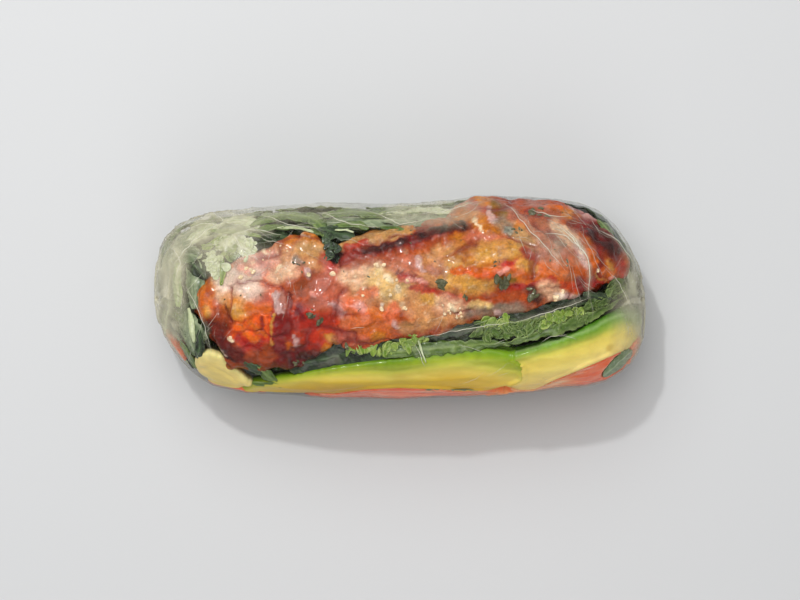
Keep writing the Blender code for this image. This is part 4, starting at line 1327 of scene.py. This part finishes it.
# %% Core of the leaf bundle
core = solid_copy("salad_core", "greens", voxel=1.1 * MM, smoothing=3)
points = points_of(core.data)
out = normals_of(core.data)
tree = surface_tree(core.data)
THICKEST = 20 * MM
thick = np.full(len(points), THICKEST)
for n in range(len(points)):
    # how much leaf there is behind this point, so that thin walls are not turned inside out
    far_side = tree.ray_cast(Vector(points[n] - out[n] * 0.02 * MM), Vector(-out[n]), THICKEST)[3]
    thick[n] = far_side or THICKEST
creases = np.abs(noise(warp(points, [(5 * MM, 2 * MM)], 71), 6 * MM, 72))
sink = 1.9 + 0.9 * (1 - smoothstep(creases, 0, 0.4)) - 0.3 * rough(points, 3 * MM, 3, 73)
sink = np.minimum(sink * MM, 0.3 * thick)
inward = np.column_stack([np.zeros(len(points)), AXIS_Y - points[:, 1], AXIS_HEIGHT - points[:, 2]])
inward /= np.maximum(np.linalg.norm(inward, axis=1), 1e-6)[:, None]
# thin fins between fillings are drawn well inside
thin = 1 - smoothstep(thick / MM, 1.5, 4.5)
set_points(core.data, points - out * sink[:, None] + inward * (4.0 * MM * thin)[:, None])
shade = np.clip(0.5 + 0.9 * rough(points, 6 * MM, 3, 75), 0, 1)
dark, green = (under_film(LEAF_TONES[tone][0]) for tone in ("dark", "green"))
coat = np.outer(1 - shade, dark) + np.outer(shade, green)
folds = 1 - smoothstep(np.abs(noise(warp(points, [(7 * MM, 3 * MM)], 77), 9 * MM, 78)), 0.02, 0.16)
low_down = smoothstep(-points[:, 2] / MM, -24, -14)
coat = blend(coat, under_film(LEAF_TONES["grey"][1]), 0.7 * folds * low_down)
paint(core, coat)
core.data.materials.append(LEAF_FLESH)
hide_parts("greens")
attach(core, BODY)
print(core.name, len(core.data.polygons), "faces")

# %% [markdown]
# ## The rice paper
#
# Soaked rice paper is a clear, sticky film. It clings to whatever it touches and goes
# clear there, bridges the gaps between fillings and stays milky there, and gathers in
# fine wrinkles where it is folded over. The film is found the way it is made: a loose
# skin is pulled in until it meets the fillings. Rays from outside give the fillings'
# radius on a fine grid over the roll. The film starts outside and is relaxed inwards,
# and never passes the fillings.

# %% Pull the film onto the fillings
FILM_S, FILM_Q = 340, 244     # points along the film and round it
FILM_OFF = 0.22 * MM          # how far it stays off the fillings
LOOSE = 0.4 * MM              # how far outside the wrap it starts
PULL_STEPS = 140
PULL = 0.007 * MM             # how far each step draws it in
visible = [piece for piece in bpy.context.scene.objects
           if piece.type == "MESH" and piece.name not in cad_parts]
film_s, film_q = np.meshgrid(
    np.linspace(-S_END, S_END, FILM_S), np.arange(FILM_Q) / FILM_Q * 2 * math.pi * TURN, indexing="ij")
origin, way = skin_rays(film_s.ravel(), film_q.ravel())
trees = [surface_tree(piece.data) for piece in visible]
contact = ray_radius(trees, origin, way, OUTSIDE, INNERMOST).reshape(FILM_S, FILM_Q)
contact[:2] = contact[:2].max()
contact[-2:] = contact[-2:].max()
outer = read_map(SKIN, film_s.ravel(), film_q.ravel()).reshape(FILM_S, FILM_Q)


def neighbours(grid):
    padded = np.vstack([grid[:1], grid, grid[-1:]])
    return padded[:-2], padded[2:], np.roll(grid, 1, 1), np.roll(grid, -1, 1)


floor_radius = np.maximum.reduce([contact, *neighbours(contact)]) + FILM_OFF
radius = np.maximum(outer + LOOSE, floor_radius)
for step in range(PULL_STEPS):
    radius = np.maximum(floor_radius, sum(neighbours(radius)) / 4 - PULL)
gap = radius - contact
print("film lies", round(float(np.median(gap)) / MM, 2), "mm off the fillings, and bridges up to",
      round(float(gap.max()) / MM, 2), "mm")

# %% [markdown]
# ### Wrinkles and haze
#
# Wrinkles are ridges along paths on the skin map: a bundle of them runs down from the
# top right, a few straight ones cross it, and the left end is crumpled all over. Haze is
# how milky the film is: where it bridges a gap, where layers of it overlap, and in the
# folded ends. It is kept as the alpha of the film's paint.

# %% Wrinkles
# height, half width, then the path from above, all in millimetres
WRINKLES = (
    (0.75, 0.7, (38.2, 20.2), (43.8, 15), (48.2, 8.6), (47.7, -0.1)),
    (0.5, 0.5, (40.4, 19.4), (44.6, 14.6), (47, 9)),
    (0.45, 0.5, (36.8, 16.6), (42, 15.8), (46.6, 12)),
    (0.45, 0.4, (26.7, 24.9), (32.1, 18.5), (41.7, 7)),
    (0.4, 0.5, (47.7, -0.1), (41.7, -2.2), (28.7, -6.1)),
    (0.35, 0.5, (28.7, -6.1), (15.7, -7.7), (6, -9.6)),
    (0.4, 0.5, (33, 23), (38, 21.4), (43, 20.8)), (0.4, 0.5, (-60, 13.6), (-56, 9.6), (-58, 4)),
    (0.5, 0.6, (-58.6, 8), (-53.4, 14), (-47, 19)), (0.4, 0.5, (-57, 17), (-50, 19.6), (-44, 17.6)),
    (0.35, 0.5, (-50, 23), (-44.6, 19), (-38, 20.6)),
    (0.35, 0.5, (-44, 14.8), (-37, 17.6), (-30, 16.4)),
    (0.35, 0.5, (-36, 22), (-28, 18.8), (-20, 17.8)),
    (0.35, 0.5, (-22, 23), (-14, 19.4), (-6, 18.4)), (0.3, 0.5, (-8, 23), (0, 19), (7, 20.4)),
    (0.35, 0.5, (4, 22), (12, 22.6), (20, 25)), (0.3, 0.5, (52, 8), (57, 3), (61, -3)),
    (0.35, 0.5, (50, 18), (56, 14), (60, 8)), (0.3, 0.4, (3.6, -11), (5, -14), (6.4, -18)),
    (0.3, 0.4, (-43, 16.6), (-40, 12), (-36, 10)), (0.3, 0.5, (-55, 3), (-50, -6), (-48, -14)),
)
map_at = np.column_stack([film_s.ravel(), (film_q.ravel() + math.pi * TURN) % (2 * math.pi * TURN)
                          - math.pi * TURN]) / MM
bent = warp(map_at, [(4.0, 0.8), (1.5, 0.3)], 801)
film_plan = plan(origin + way * radius.ravel()[:, None])
ridge = np.zeros(len(map_at))
for height, width, *path in WRINKLES:
    places = from_above(path) / MM
    away = from_path(bent, along_path(places, 14)[0])
    ends = np.minimum.reduce([np.linalg.norm(bent - places[n], axis=1) for n in (0, -1)])
    raised = height * np.exp(-(away / width) ** 2) * (0.35 + 0.65 * smoothstep(ends, 0, 4))
    ridge = np.maximum(ridge, raised)


def patches(table):
    """The strongest of some soft patches of the film, each a strength, a middle and a reach."""
    strongest = np.zeros(len(film_plan))
    for strength, middle, reach in table:
        away = np.hypot(*((film_plan - middle) / reach).T)
        strongest = np.maximum(strongest, strength * (1 - smoothstep(away, 0.6, 1.3)))
    return strongest


CRUMPLED_PATCHES = (
    (1.0, (-48, 19), (16, 8)), (0.8, (-60, 2), (6, 18)), (0.6, (8, 22), (14, 5)),
    (0.7, (42, 14), (5, 9)), (0.5, (61, 4), (4, 14)),
)
folded = smoothstep(np.abs(map_at[:, 0]), 52, 66)
underneath = np.abs(map_at[:, 1]) > 30
crumpled = np.maximum.reduce([patches(CRUMPLED_PATCHES), 0.7 * folded, 0.35 * underneath])
flow = warp(map_at, [(9.0, 3.0), (3.0, 1.0)], 820)
along = np.column_stack([flow, np.zeros(len(flow))]) * np.array([0.45, 1.0, 1.0])
creased = (1 - np.abs(noise(along, 2.4, 822))) ** 6 + 0.6 * (1 - np.abs(noise(along, 1.5, 824))) ** 6
# the map's lines run together at the two ends, so folds there are placed in space instead
in_space = warp((origin + way * radius.ravel()[:, None]) / MM, [(8.0, 3.0), (3.0, 1.0)], 826)
at_end = smoothstep(np.abs(map_at[:, 0]), S_END / MM - 20, S_END / MM - 9)
creased = blend(creased, 1.2 * (1 - np.abs(noise(in_space, 5.0, 828))) ** 6, at_end)
radius_new = radius.ravel() + (ridge + 0.5 * crumpled * creased) * MM
print("wrinkle ridges up to", round(float((radius_new - radius.ravel()).max()) / MM, 2), "mm")

# %% [markdown]
# The film is one closed sheet: rings of points along the map and one point at each pole.

# %% Film mesh and its haze
def film_mesh(name, points, rings, sides):
    index = np.arange(rings * sides).reshape(rings, sides)
    after = np.roll(index, -1, axis=1)
    walls = np.stack([index[:-1], after[:-1], after[1:], index[1:]], -1).reshape(-1, 4)
    poles = [points[index[0]].mean(axis=0), points[index[-1]].mean(axis=0)]
    first, last = len(points), len(points) + 1
    faces = walls.tolist()
    faces += [[first, int(after[0, n]), int(index[0, n])] for n in range(sides)]
    faces += [[last, int(index[-1, n]), int(after[-1, n])] for n in range(sides)]
    mesh = bpy.data.meshes.new(name)
    mesh.from_pydata(np.vstack([points, poles]).tolist(), [], faces)
    face_outwards(mesh)
    shade_smooth(mesh)
    return mesh


film = add_piece("rice_paper_film", film_mesh(
    "rice_paper_film", origin + way * radius_new[:, None], FILM_S, FILM_Q))

# only where the film is off the fillings for some way round does it turn milky
wide_gap = gap
for _ in range(3):
    wide_gap = np.minimum.reduce([wide_gap, *neighbours(wide_gap)])
lift = smoothstep(wide_gap.ravel() / MM, 1.0, 3.4)
cloud = rough(np.column_stack([flow, np.zeros(len(flow))]), 7.0, 3, 830)
cloud = blend(cloud, rough(in_space, 7.0, 3, 832), at_end)
MILKY_PATCHES = (
    (0.26, (-50, 19), (15, 7)), (0.40, (-60, 4), (6, 18)), (0.3, (-60, 13), (4, 6)),
    (0.30, (8, 22.5), (13, 4.5)), (0.14, (-26, 23), (22, 3.5)), (0.46, (62.5, 7), (4, 14)),
    (0.28, (-44, 11), (8, 7)), (0.10, (-36, 9), (9, 5)), (0.05, (38, 15), (9, 8)),
    (0.05, (-4, 4), (10, 7)),
)
CLEAN_PATCHES = ((1.0, (52, 9), (7, 8)), (1.0, (-38, -6), (12, 11)))
LEAST_HAZE = 0.004
CLEAR_FILM = 0.05             # alpha of film with no haze at all
milky = np.maximum.reduce([
    patches(MILKY_PATCHES), 0.34 * folded, 0.55 * at_end, 0.16 * underneath,
    np.full(len(map_at), LEAST_HAZE)])
haze = milky * (1 + 0.7 * cloud) * (1 - 0.7 * patches(CLEAN_PATCHES))
haze += 0.22 * lift + 0.24 * crumpled * creased + 0.35 * np.clip(ridge, 0, 1)
haze = np.clip(haze, LEAST_HAZE, 0.8)
alpha = np.clip(haze + CLEAR_FILM, 0, 0.85)
milk = linear((212, 206, 176))
tint = np.outer(haze / alpha, milk)
ends = [tint[:FILM_Q].mean(axis=0), tint[-FILM_Q:].mean(axis=0)]
pole_alpha = [alpha[:FILM_Q].mean(), alpha[-FILM_Q:].mean()]
paint(film, np.vstack([tint, ends]), np.concatenate([alpha, pole_alpha]))


SPECK_COLOUR = (0.75, 0.74, 0.68, 1)


def film_material(name, strength):
    """Wet rice paper: the paint says how milky it is, and fine specks are caught in it."""
    made, shader, colour, turned, group = grained_material(
        name, grain=2400, mottle=500, contrast=0.3, roughness=(0.1, 0.3), bump=0.12 * MM)
    tree = made.node_tree
    shader.inputs["IOR"].default_value = 1.5
    specks = noise_node(tree, turned.outputs["Vector"], 2600, 2.0, 0.5)
    specks = maths(tree, "SUBTRACT", specks, 0.60, clamp=True)
    specks = maths(tree, "MULTIPLY", specks, 3.0, clamp=True)
    see = maths(tree, "ADD", colour.outputs["Alpha"], maths(tree, "MULTIPLY", specks, strength))
    mixed = tree.nodes.new("ShaderNodeMix")
    mixed.data_type = "RGBA"
    link(tree, specks, mixed.inputs[0])
    link(tree, group.outputs["Colour"], mixed.inputs[6])
    mixed.inputs[7].default_value = SPECK_COLOUR
    link(tree, mixed.outputs[2], shader.inputs["Base Color"])
    link(tree, see, shader.inputs["Alpha"])
    return made


FILM = film_material("wet_rice_paper", strength=0.11)
film.data.materials.append(FILM)
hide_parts("rice_paper")
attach(film, BODY)
print(film.name, len(film.data.polygons), "faces, mean alpha", round(float(alpha.mean()), 3))

# %% [markdown]
# ### Creases in the film
#
# Where the film is pleated it shows thin bright lines. Each one is a bead that follows a
# path over the film, thick in the middle and thin at its ends. Geometry Nodes make them:
# the paths are edges of one mesh with a width kept on every point, and the tree turns
# them into curves and then into round beads. The long creases follow the wrinkles above.
# The short ones are drawn by a seeded generator, zone by zone.

# %% Creases in the film
CREASE, inside, out = new_tree("film_crease", (
    ("Sides", "NodeSocketInt"), ("Thickness", "NodeSocketFloat"), ("Material", "NodeSocketMaterial")))
lines = CREASE.nodes.new("GeometryNodeMeshToCurve")
link(CREASE, inside["Geometry"], lines.inputs["Mesh"])
ring = CREASE.nodes.new("GeometryNodeCurvePrimitiveCircle")
link(CREASE, inside["Sides"], ring.inputs["Resolution"])
ring.inputs["Radius"].default_value = 1.0
bead = CREASE.nodes.new("GeometryNodeCurveToMesh")
link(CREASE, lines.outputs["Curve"], bead.inputs["Curve"])
link(CREASE, ring.outputs["Curve"], bead.inputs["Profile Curve"])
link(CREASE, maths(CREASE, "MULTIPLY", value_input(CREASE, "width", "FLOAT"), inside["Thickness"]),
     bead.inputs["Scale"])
bead.inputs["Fill Caps"].default_value = True
finish_tree(CREASE, bead.outputs["Mesh"], inside["Material"], out)

UNDERSIDE_CREASES = 170
SHORTEST, LONGEST = 1 * MM, 60 * MM       # a path folded over an end may come out too long
# how many, middle, spread, heading in degrees and its spread, shortest and longest
CREASE_ZONES = (
    (60, (-50, 17), (8, 4.5), 25, 35, 2, 9), (34, (-59, 6), (3, 9), 80, 25, 2, 9),
    (18, (-54, -8), (5, 7), 70, 30, 3, 8), (24, (-28, 20), (12, 3), 8, 18, 3, 10),
    (18, (4, 22), (14, 2.5), 12, 25, 3, 9), (30, (43.5, 13), (3.4, 6), -58, 12, 3, 11),
    (14, (36, 20), (7, 4), -40, 25, 3, 9), (20, (59, 8), (3, 9), -70, 30, 2, 8),
    (16, (-42, 13), (5, 3), 30, 60, 1.5, 4), (10, (25, -8), (20, 2), 10, 15, 3, 9),
    (12, (40, -21), (16, 2.5), 15, 12, 3, 9), (10, (-30, -2), (3, 9), 80, 20, 1.5, 4),
)
FILM_RADIUS = radius_new.reshape(FILM_S, FILM_Q)
rng = np.random.default_rng(23)
paths = []
for height, width, *path in WRINKLES:
    paths.append((from_above(path), 0.7 + height, 0.75))
for count, middle, spread, heading, turning, shortest, longest in CREASE_ZONES:
    for _ in range(count):
        start = rng.normal(middle, spread)
        angle = math.radians(heading + rng.normal(0, turning))
        bend = rng.normal(0, 0.5)
        reach = rng.uniform(shortest, longest)
        path = [start]
        for _ in range(3):
            path.append(path[-1] + np.array([math.cos(angle), math.sin(angle)]) * reach / 3)
            angle += bend / 3
        paths.append((from_above(path), rng.uniform(0.3, 0.75), rng.uniform(0.25, 0.6)))
for _ in range(UNDERSIDE_CREASES):
    start = np.array([rng.uniform(-0.95, 0.95) * S_END, (math.pi + rng.uniform(-1.5, 1.5)) * TURN])
    angle = rng.normal(0, 0.7)
    way_on = np.array([math.cos(angle), math.sin(angle)]) * rng.uniform(3, 10) * MM
    path = np.array([start, start + way_on * 0.5, start + way_on])
    paths.append((path, rng.uniform(0.3, 0.7), 0.35))

points, edges, widths, shine = [], [], [], []
for number, (path, width, strength) in enumerate(paths):
    length = np.linalg.norm(np.diff(path, axis=0), axis=1).sum()
    if not SHORTEST <= length <= LONGEST:
        continue
    line = along_path(path, max(5, int(length / (0.45 * MM))))[0]
    wander = np.column_stack([line / MM, np.full(len(line), number * 2.7)])
    line = line + np.column_stack([noise(wander, 1.6, 900 + axis) for axis in (0, 1)]) * 0.25 * MM
    share = np.linspace(0, 1, len(line))
    first = len(points)
    points += list(skin_points(line[:, 0], line[:, 1], 0.02 * MM, FILM_RADIUS))
    edges += [(first + n, first + n + 1) for n in range(len(line) - 1)]
    widths += list(width * (0.25 + 0.75 * np.sin(math.pi * share) ** 0.7))
    shine += list(strength * (0.4 + 0.6 * np.sin(math.pi * share)))
mesh = bpy.data.meshes.new("rice_paper_creases")
mesh.from_pydata(points, edges, [])
mesh.attributes.new("width", "FLOAT", "POINT").data.foreach_set("value", widths)
creases = add_piece("rice_paper_creases", mesh)
# the beads are painted near white: milky folds of the paper, with painted glints along them
paint(creases, np.tile(linear((236, 232, 214)), (len(points), 1)), np.array(shine))
run_tree(creases, CREASE, {"Sides": 4, "Thickness": 0.075 * MM, "Material": FILM})
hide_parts("rice_paper")
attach(creases, BODY)
print(creases.name, len(paths), "creases,", len(creases.data.polygons), "faces")


# %% [markdown]
# ## Floor, light and camera
#
# The roll lies on a plain pale floor. A large soft lamp above and behind it gives the
# broad sheen and a soft shadow in front, a small one gives the wet sparkles, and a third
# fills the front. The camera looks straight down.

# %% Stage
LAMPS_AIM = Vector((0, 0, 0.015))


def add_lamp(name, place, size, power):
    data = bpy.data.lights.new(name, "AREA")
    data.shape = "DISK"
    data.size = size
    data.energy = power
    lamp = bpy.data.objects.new(name, data)
    bpy.context.scene.collection.objects.link(lamp)
    lamp.location = place
    lamp.rotation_euler = (LAMPS_AIM - Vector(place)).to_track_quat("-Z", "Y").to_euler()


add_lamp("soft_lamp", (-0.15, 0.33, 0.66), size=0.8, power=3.6)
add_lamp("sparkle_lamp", (-0.20, 0.40, 0.70), size=0.04, power=2.1)
add_lamp("front_lamp", (0.10, -1.0, 0.80), size=0.9, power=2.7)

world = bpy.data.worlds.new("studio")
world.use_nodes = True
world.node_tree.nodes["Background"].inputs["Color"].default_value = (1.0, 1.0, 1.0, 1)
world.node_tree.nodes["Background"].inputs["Strength"].default_value = 0.47
bpy.context.scene.world = world

bm = bmesh.new()
bmesh.ops.create_grid(bm, x_segments=8, y_segments=8, size=1.2)
floor_mesh = bpy.data.meshes.new("floor")
bm.to_mesh(floor_mesh)
bm.free()
floor = add_piece("floor", floor_mesh)
set_points(floor.data, points_of(floor.data) + np.array([0, 0, CAD_LOW.z - 0.05 * MM]))
floor_paint = bpy.data.materials.new("pale_floor")
floor_paint.use_nodes = True
floor_shader = floor_paint.node_tree.nodes["Principled BSDF"]
floor_shader.inputs["Base Color"].default_value = (0.57, 0.575, 0.58, 1)
floor_shader.inputs["Roughness"].default_value = 0.85
floor.data.materials.append(floor_paint)

VIEW_WIDTH = 208 * MM         # how much the camera sees from left to right
VIEW_HEIGHT = 18 * MM         # of the level where it is that wide
camera_data = bpy.data.cameras.new("camera")
camera_data.sensor_width = 36
camera_data.lens = 130
camera_data.clip_start = 0.01
camera_data.clip_end = 20
camera = bpy.data.objects.new("camera", camera_data)
bpy.context.scene.collection.objects.link(camera)
distance = VIEW_WIDTH * camera_data.lens / camera_data.sensor_width
camera.location = (0, 0, VIEW_HEIGHT + distance)
bpy.context.scene.camera = camera
bpy.context.scene.view_settings.view_transform = "Standard"
bpy.context.scene.view_settings.look = "None"
